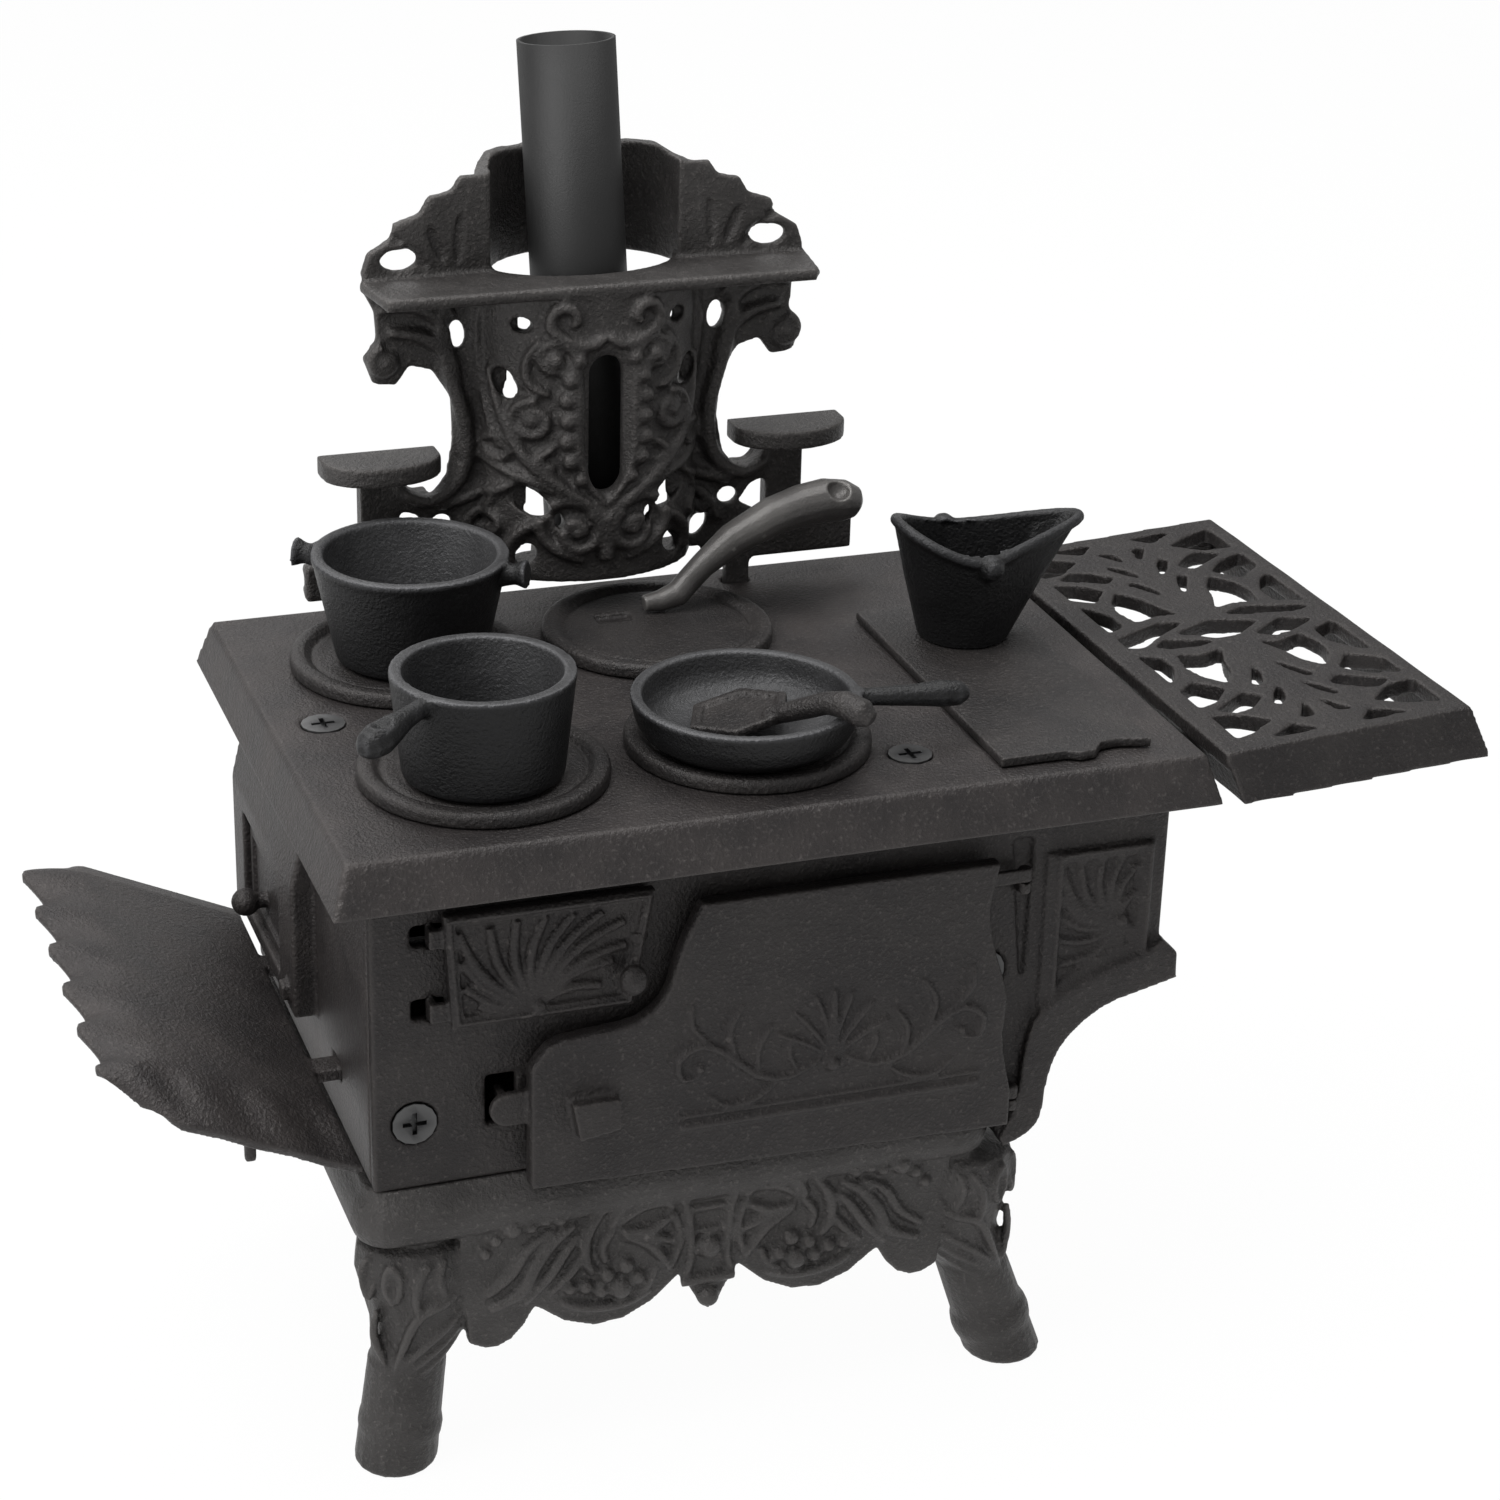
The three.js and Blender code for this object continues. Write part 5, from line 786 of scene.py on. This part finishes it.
def make_side_shelf():
    holes = [rounded(points) for points in MIDDLE_BAND]
    for points in QUARTER:
        for turn_x in (False, True):
            for turn_y in (False, True):
                holes.append(rounded([(SHELF_WIDE - x if turn_x else x, SHELF_LONG - y if turn_y else y)
                                      for x, y in points]))
    outline = [(0, 0), (SHELF_WIDE, 0), (SHELF_WIDE, SHELF_LONG), (0, SHELF_LONG)]
    plate = tracery_plate(outline, holes, -PLATE_THICK, 0)
    deselect()
    bpy.ops.mesh.primitive_cube_add(
        size=1, location=(SHELF_WIDE / 2 * MM, SHELF_LONG / 2 * MM, -SKIRT_DEEP / 2 * MM),
        scale=(SHELF_WIDE * MM, SHELF_LONG * MM, SKIRT_DEEP * MM))
    skirt = freeze()
    for vertex in skirt.data.vertices:
        # Only the lower corners, of which those under 10 mm are at the cooktop or at the near end
        if vertex.co.z < -6 * MM:
            vertex.co.x = SKIRT_INNER_FOOT * MM if vertex.co.x < 10 * MM else vertex.co.x + SKIRT_FLARE * MM
            vertex.co.y += -SKIRT_FLARE * MM if vertex.co.y < 10 * MM else SKIRT_FLARE * MM
    cut(skirt, bar(Vector((6, 3, -14)) * MM, Vector((SHELF_WIDE - 1.5, SHELF_LONG - 3, 2)) * MM))
    turn = (Matrix.Rotation(math.radians(SHELF_TURN), 4, "Z")
            @ Matrix.Rotation(math.radians(SHELF_TILT), 4, "Y"))
    place = Matrix.Translation(at(*SHELF_CORNER)) @ turn
    shelf = join([plate, skirt])
    shelf.data.transform(place)
    tongues = []
    for y in TONGUE_PLACES:
        near, far = y - TONGUE_HALF, y + TONGUE_HALF
        tongues.append(bar(at(96.2, near, 151.2), at(107.6, far, 152.8)))
        tongues.append(bar(at(96.2, near, 150.0), at(97.8, far, 151.4)))
    shelf = join([shelf] + tongues)
    soften(shelf, 0.55, rounds=2, most=172000)
    finish(shelf, "side_shelf", door_iron_painted_shade, "side_shelf")


# Hearth: the plate droops in ruffles at its outer and near edges

HEARTH_LONG = 58.6
HEARTH_NEAR = -59.5
HEARTH_FAR = 57.0
HEARTH_THICK = 2.6
# Where the plate leaves the body, and how steeply it rises outward, in degrees
HEARTH_X = -97.6
HEARTH_Z = 90.4
HEARTH_RISE = 25
# Shares of the plate that droop at the outer, near and far edges, and the share that the lobes reach over
OUT_EDGE = 0.3
NEAR_EDGE = 0.13
FAR_EDGE = 0.06
LOBE_EDGE = 0.22
OUT_LOBES = 6
NEAR_LOBES = 3.5
# How far each edge droops
OUT_DROOP = 7
NEAR_DROOP = 9.6
FAR_DROOP = 1.7
# The two hooks that hang in the body: their middles from front to back, and half their width
HOOK_PLACES = (-26, 26)
HOOK_HALF = 3.5
# The short prop under the plate, as shares out and along
PROP_PLACE = (24 / HEARTH_LONG, 0.06)


def hearth_point(out, along):
    """A point of the upper face: out runs from body to outer edge, along from near to far, both 0 to 1."""
    out_share = max(0.0, (out - (1 - OUT_EDGE)) / OUT_EDGE)
    near_share = max(0.0, (NEAR_EDGE - along) / NEAR_EDGE)
    far_share = max(0.0, (along - (1 - FAR_EDGE)) / FAR_EDGE)
    out_lobe = math.sin(math.pi * OUT_LOBES * along) ** 2 - 0.5
    near_lobe = math.sin(math.pi * NEAR_LOBES * (1 - out)) ** 2 - 0.5
    droop = math.hypot(OUT_DROOP * out_share ** 1.6, NEAR_DROOP * near_share ** 1.4)
    near_wave = 3.2 * near_share * (1 - near_share) * (1 - out_share) * near_lobe
    out_wave = 3.0 * out_share * (1 - near_share) * out_lobe
    tall = -droop - FAR_DROOP * far_share + out_wave + 2.2 * near_wave
    corner = out_share * max(near_share, far_share)
    lobe_reach = 1.9 * (out_lobe + 0.5) * max(0.0, (out - (1 - LOBE_EDGE)) / LOBE_EDGE)
    reach = HEARTH_LONG * out + lobe_reach - 5.5 * corner ** 1.5
    along += (0.045 if along < 0.5 else -0.04) * corner ** 1.5
    rise = math.radians(HEARTH_RISE)
    return at(HEARTH_X - reach * math.cos(rise) - tall * math.sin(rise),
              HEARTH_NEAR + (HEARTH_FAR - HEARTH_NEAR) * along,
              HEARTH_Z + reach * math.sin(rise) + tall * math.cos(rise))


def make_hearth():
    deselect()
    bpy.ops.mesh.primitive_grid_add(x_subdivisions=90, y_subdivisions=150, size=1)
    plate = bpy.context.object
    for vertex in plate.data.vertices:
        vertex.co = hearth_point(vertex.co.x + 0.5, 0.5 - vertex.co.y)
    in_edit_mode(plate, bpy.ops.mesh.normals_make_consistent, inside=False)
    if sum(polygon.normal.z for polygon in plate.data.polygons) < 0:
        in_edit_mode(plate, bpy.ops.mesh.flip_normals)
    use(plate, "SOLIDIFY", thickness=HEARTH_THICK * MM, offset=-1)
    hooks = []
    for y in HOOK_PLACES:
        near, far = y - HOOK_HALF, y + HOOK_HALF
        hooks.append(bar(at(-100.6, near, 87.4), at(-86.0, far, 90.4)))
        hooks.append(bar(at(-88.0, near, 82.4), at(-86.0, far, 90.4)))
    prop = hearth_point(*PROP_PLACE)
    hooks.append(bar(prop + Vector((-1.3, 0, -12.4)) * MM, prop + Vector((1.3, 2.2, -1)) * MM))
    cast = join([plate] + hooks)
    soften(cast, 0.6, rounds=3)
    finish(cast, "hearth", plate_iron, "hearth")


# Cooktop and lids

top = casting_copy("cooktop")
soften(top, 1.0, rounds=3)
finish(top, "range", plate_iron, "cooktop")

# Half section of a lid, as radius and height above its seat
LID_PROFILE = [
    (24.2, -2.5), (24.2, 0), (27.8, 0), (27.8, 2.4), (27.3, 3.2), (26.4, 3.5), (24.6, 3.5), (23.4, 2.6),
    (22.9, 2.0), (22.2, 2.0), (21.8, 2.5), (10, 2.5), (2, 2.5),
]
for name, (x, y) in LID_PLACES.items():
    lid = turned(name + "_cast", LID_PROFILE, at(x, y, LID_SEAT))
    if name == "lid_back_right":
        cut(lid, bar(at(x - 13, y + 5, LID_FACE - 1.2), at(x - 4, y + 10, LID_FACE + 2)))
    soften(lid, 0.5, rounds=2)
    finish(lid, name, range_iron, name)

# Pieces without relief of their own, which only take the rounding of a casting
for node, voxel, material, body in (
    ("reservoir_cover", 0.5, range_iron, "reservoir_cover"),
    ("left_end", 0.62, plate_iron, "range"),
    ("reservoir", 0.8, range_iron, "range"),
    ("back_panel", 0.9, plate_iron, "range"),
    ("end_flap", 0.4, plate_iron, "end_flap"),
):
    cast = casting_copy(node)
    soften(cast, voxel, rounds=2)
    finish(cast, body, material, node)


# The hod: its axis from the left of its box, its height, and the shares by which its rim is widened
# from front to back and drawn in at the left
HOD_AXIS = 20.6
HOD_TALL = 28
HOD_WIDER = 0.2
HOD_SHORTER = 0.1
# Its rolled rim: how far it reaches to the left; to the right, as a part all round and a part that grows
# towards the spout; half its width; the radius of the roll; and how far that lies inside the wall's edge
RIM_LEFT = 18.54
RIM_RIGHT = (11, 18.6)
RIM_ACROSS = 15.6
RIM_RADIUS = 1.35
RIM_INSIDE = 0.9


def make_coal_hod():
    """The rolled rim dips at the ears, rises opposite the spout and runs out into the spout."""
    low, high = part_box("coal_hod")
    middle = Vector((low.x + HOD_AXIS * MM, (low.y + high.y) / 2, low.z))
    pail = casting_copy("coal_hod")
    for vertex in pail.data.vertices:
        share = (vertex.co.z - middle.z) / (HOD_TALL * MM)
        vertex.co.y = middle.y + (vertex.co.y - middle.y) * (1 + HOD_WIDER * share)
        if vertex.co.x < middle.x:
            vertex.co.x = middle.x + (vertex.co.x - middle.x) * (1 - HOD_SHORTER * share)
    rim = []
    for k in range(49):
        c = math.cos(math.tau * k / 48)
        s = math.sin(math.tau * k / 48)
        reach = RIM_RIGHT[0] + RIM_RIGHT[1] * c ** 1.5 if c > 0 else RIM_LEFT
        across = RIM_ACROSS * (1 - 0.3 * max(0.0, c))
        tall = HOD_TALL + 4.6 * (max(0.0, -c) / 2 - s * s)
        spot = Vector(((reach - RIM_INSIDE) * c, (across - RIM_INSIDE) * s, tall - RIM_INSIDE))
        rim.append((middle + spot * MM, RIM_RADIUS))
    cast = join([pail, strokes([rim])])
    soften(cast, 0.55, rounds=2)
    finish(cast, "coal_hod", pot_iron, "coal_hod")


make_coal_hod()
make_backsplash()
make_base()
make_fire_door()
make_oven_door()
make_front_panel()
make_side_shelf()
make_hearth()


# Pots, by the places of their middles and the turns of their ears and handles in degrees

POT_GRID = 0.6
DUTCH_PLACE = (-59.5, 28.6)
EAR_TURNS = (-31, 149)
PAN_PLACE = (-60.8, -38.8)
PAN_TURN = 216
DISH_PLACE = (-0.6, -38.6)
DISH_TURN = -12


def pot_body(name, x, y, base, rim, height, wall, lip):
    """A flared pot: radius at base and rim, height, thickness of wall, and width of the lip."""
    profile = [(base - 1.5, 0), (base, 1), (rim - lip, height - 2.4), (rim, height - 1.4), (rim, height),
               (rim - wall, height), (base - wall, wall + 1), (base - wall - 2, wall), (2, wall)]
    return turned(name, profile, at(x, y, POT_SEAT))


def spoke(x, y, turn, reach, height):
    """A point at a reach and turn from an upright axis, at a height above the floor."""
    angle = math.radians(turn)
    return at(x + reach * math.cos(angle), y + reach * math.sin(angle), height)


def handle(place, turn, level, run, resolution=3):
    """A handle outward from an upright axis, along steps of (reach, height above the level, radius)."""
    line = [(spoke(*place, turn, reach, level + rise), radius) for reach, rise, radius in run]
    return strokes([line], resolution=resolution)


def give_painted_light(piece, x, y, rim):
    """Gives the paler iron to the faces that look inward or upward enough, out to the rim: painted light on
    the faces turned toward the lamps.
    """
    piece.data.materials.append(pot_inside_painted_light)
    axis = at(x, y, 0)
    for polygon in piece.data.polygons:
        out = (polygon.center - axis) * Vector((1, 1, 0))
        reach = out.length
        inward = polygon.normal.dot(out) < -0.15 * reach
        if reach < rim * MM and (inward or polygon.normal.z > 0.5):
            polygon.material_index = 1


dutch = pot_body("dutch_oven_cast", *DUTCH_PLACE, base=17.6, rim=22.9, height=26, wall=2.8, lip=0.5)
ears = []
for turn in EAR_TURNS:
    # A neck that narrows outward, then the flared button
    for start, end, radius, end_radius in (
        ((21.4, 186.6), (25.8, 187.0), 3.0, 2.3),
        ((25.2, 187.0), (28.0, 187.2), 2.4, 3.6),
    ):
        near = spoke(*DUTCH_PLACE, turn, *start)
        ears.append(drum(near, spoke(*DUTCH_PLACE, turn, *end), radius, end_radius))
dutch = join([dutch] + ears)
soften(dutch, POT_GRID, rounds=3)
finish(dutch, "dutch_oven", pot_iron, "dutch_oven")
give_painted_light(dutch, *DUTCH_PLACE, 23.2)

pan = pot_body("saucepan_cast", *PAN_PLACE, base=17.8, rim=20.2, height=24.5, wall=2.7, lip=0.2)
pan_grip = handle(PAN_PLACE, PAN_TURN, 188.6, (
    (18.4, -2.2, 2.4), (22, -2.4, 2.2), (26, -2.9, 2.4), (30, -3.6, 3.2), (34.5, -4.4, 3.9),
    (38, -4.9, 3.2), (40, -5.1, 1.6)))
pan = join([pan, pan_grip])
# The hollow for the thumb
cut(pan, ball(spoke(*PAN_PLACE, PAN_TURN, 33.8, 189.6), 3.2))
soften(pan, POT_GRID, rounds=3)
finish(pan, "saucepan", pot_iron, "saucepan")
give_painted_light(pan, *PAN_PLACE, 20.4)

# Half section of the skillet, as radius and height, up the outside and down the inside
DISH_PROFILE = [
    (15.0, 0), (16.4, 0.2), (20.5, 1.2), (23.6, 3.6), (24.9, 6.5), (25.7, 10.2), (25.8, 11.6),
    (23.2, 11.6), (22.6, 6.8), (21.4, 4.6), (18.6, 2.8), (14, 2.2), (2, 2.2),
]
dish = turned("skillet_cast", DISH_PROFILE, at(*DISH_PLACE, POT_SEAT))
dish_grip = handle(DISH_PLACE, DISH_TURN, 173.6, (
    (24, 0, 2.0), (30, 0.1, 2.2), (38, 0.2, 2.6), (44, 0.4, 3.2), (48, 0.4, 2.9), (50.2, 0.4, 1.2)))
dish = join([dish, dish_grip])
soften(dish, POT_GRID, rounds=3)
finish(dish, "skillet", pot_iron, "skillet")
give_painted_light(dish, *DISH_PLACE, 26.0)


# Coal shovel: a six-sided hollowed blade that leans in the skillet, its thick handle over the rim

SHOVEL_PLACE = (-1.8, -37.4)
SHOVEL_TURN = -52
BLADE_THICK = 2.2
deselect()
bpy.ops.mesh.primitive_cylinder_add(vertices=6, radius=12.2 * MM, depth=BLADE_THICK * MM,
                                    location=(0, 0, 0))
blade = bpy.context.object
deselect()
bpy.ops.mesh.primitive_cylinder_add(vertices=6, radius=9.6 * MM, depth=BLADE_THICK * MM,
                                    location=(0, 0, 1.3 * MM))
cut(blade, bpy.context.object)
blade_turn = Matrix.Rotation(math.radians(SHOVEL_TURN + 30), 4, "Z")
blade_tilt = Matrix.Rotation(math.radians(-11), 4, "Y")
blade.data.transform(Matrix.Translation(at(*SHOVEL_PLACE, 170.2)) @ (blade_turn @ blade_tilt))
shovel_grip = handle(SHOVEL_PLACE, SHOVEL_TURN, 0, (
    (7.0, 171.6, 1.9), (12, 173.4, 2.3), (17.5, 176.0, 2.5), (22.5, 178.4, 2.6), (27, 179.2, 3.1),
    (31.5, 178.2, 3.3), (34.0, 177.2, 1.8)), resolution=6)
shovel = join([blade, shovel_grip])
soften(shovel, 0.5, rounds=2)
finish(shovel, "coal_shovel", range_iron, "coal_shovel")


# Lid lifter: a thick bowed handle with a blunt end, given as across, up and radius, and a flat toe
# that stands in the slot of the lid

bow = [
    (0.9, 166.1, 2.0), (5, 166.4, 2.6), (9.5, 167.7, 3.2), (12.5, 170.6, 3.1), (16, 174.2, 3.2),
    (23.5, 180.1, 4.1), (33.5, 185.0, 4.8), (41, 187.1, 5.2), (47, 187.9, 5.4), (52, 187.4, 5.1),
    (55.0, 186.6, 3.9), (56.2, 186.2, 2.0),
]
lifter = strokes([[(at(x, 39.6 if x < 10 else 40.2, z), radius) for x, z, radius in bow]],
                 "lid_lifter_cast", 6)
dent = ball(at(49.6, 36.6, 192.0), 3.0)
toe = ball(at(5.6, 39.2, 166.2), 5.2, flat=(1, 0.6, 0.32))
lifter = join([lifter, toe])
cut(lifter, dent)
soften(lifter, 0.4, rounds=3)
finish(lifter, "lid_lifter", lifter_iron, "lid_lifter")


# Stove pipe

PIPE_FOOT = (-5.6, 60.2, 175.87)
PIPE_OUTER = 11.6
PIPE_INNER = 10.7
PIPE_LONG = 121.6
pipe_profile = [(PIPE_OUTER, 0), (PIPE_OUTER, PIPE_LONG), (PIPE_INNER, PIPE_LONG), (PIPE_INNER, 0.4)]
pipe = turned("stove_pipe_rolled", pipe_profile, Vector((0, 0, 0)), sides=72)
# The pipe leans a little to the left and to the back
pipe_lean = Matrix.Rotation(math.radians(-2), 4, "Y") @ Matrix.Rotation(math.radians(-5), 4, "X")
pipe.data.transform(Matrix.Translation(at(*PIPE_FOOT)) @ pipe_lean)
finish(pipe, "stove_pipe", tube_steel, "stove_pipe")

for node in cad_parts:
    if "screw" in node:
        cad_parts[node].data.materials.clear()
        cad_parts[node].data.materials.append(screw_steel)


# Floor, backdrop and light

# How far the paper shows as plain white to the camera, and how strongly the room lights the object
WHITE_SHARE = 0.97
ROOM_LIGHT = 0.42


def either(tree, one, other):
    return add(tree, "ShaderNodeMath", None, {0: one, 1: other}, operation="MAXIMUM").outputs[0]


deselect()
bpy.ops.mesh.primitive_plane_add(size=12, location=(0, 0, 0))
floor = bpy.context.object
floor.name = "floor"
paper = bpy.data.materials.new("white_paper_floor")
paper.use_nodes = True
tree = paper.node_tree
tree.nodes.clear()
rays = add(tree, "ShaderNodeLightPath").outputs
seen = either(tree, either(tree, rays["Is Camera Ray"], rays["Is Glossy Ray"]), rays["Is Transmission Ray"])
share = add(tree, "ShaderNodeMath", {1: WHITE_SHARE}, {0: seen}, operation="MULTIPLY")
matt = add(tree, "ShaderNodeBsdfDiffuse", {"Color": srgb("#f4f4f4")})
white = add(tree, "ShaderNodeEmission", {"Color": srgb("#ffffff"), "Strength": 1.0})
blend = add(tree, "ShaderNodeMixShader", None,
            {0: share.outputs[0], 1: matt.outputs[0], 2: white.outputs[0]})
add(tree, "ShaderNodeOutputMaterial", None, {"Surface": blend.outputs[0]})
floor.data.materials.append(paper)

world = bpy.data.worlds.new("studio")
bpy.context.scene.world = world
world.use_nodes = True
tree = world.node_tree
tree.nodes.clear()
rays = add(tree, "ShaderNodeLightPath").outputs
seen = either(tree, rays["Is Camera Ray"], rays["Is Transmission Ray"])
room = add(tree, "ShaderNodeBackground", {"Color": srgb("#ffffff"), "Strength": ROOM_LIGHT})
backdrop = add(tree, "ShaderNodeBackground", {"Color": srgb("#ffffff"), "Strength": 1.0})
blend = add(tree, "ShaderNodeMixShader", None, {0: seen, 1: room.outputs[0], 2: backdrop.outputs[0]})
add(tree, "ShaderNodeOutputWorld", None, {"Surface": blend.outputs[0]})


def softbox(name, place, size, power):
    """A soft lamp turned to the stove, with place and size in metres and power in watts."""
    light = bpy.data.lights.new(name, "AREA")
    light.shape = "RECTANGLE"
    light.size, light.size_y = size
    light.energy = power
    lamp = bpy.data.objects.new(name, light)
    lamp.location = place
    lamp.rotation_euler = (at(0, 0, 130) - place).to_track_quat("-Z", "Y").to_euler()
    bpy.context.scene.collection.objects.link(lamp)


softbox("key_softbox", Vector((-0.7, -0.15, 1.15)), (0.8, 0.8), 15)
softbox("top_softbox", Vector((0.2, 0.1, 1.3)), (0.7, 0.7), 8)
softbox("low_softbox", Vector((-1.15, -0.5, 0.28)), (0.6, 0.5), 2.6)
softbox("back_softbox", Vector((-0.1, 1.0, 0.9)), (0.8, 0.5), 3.5)

bpy.context.scene.view_settings.view_transform = "Standard"
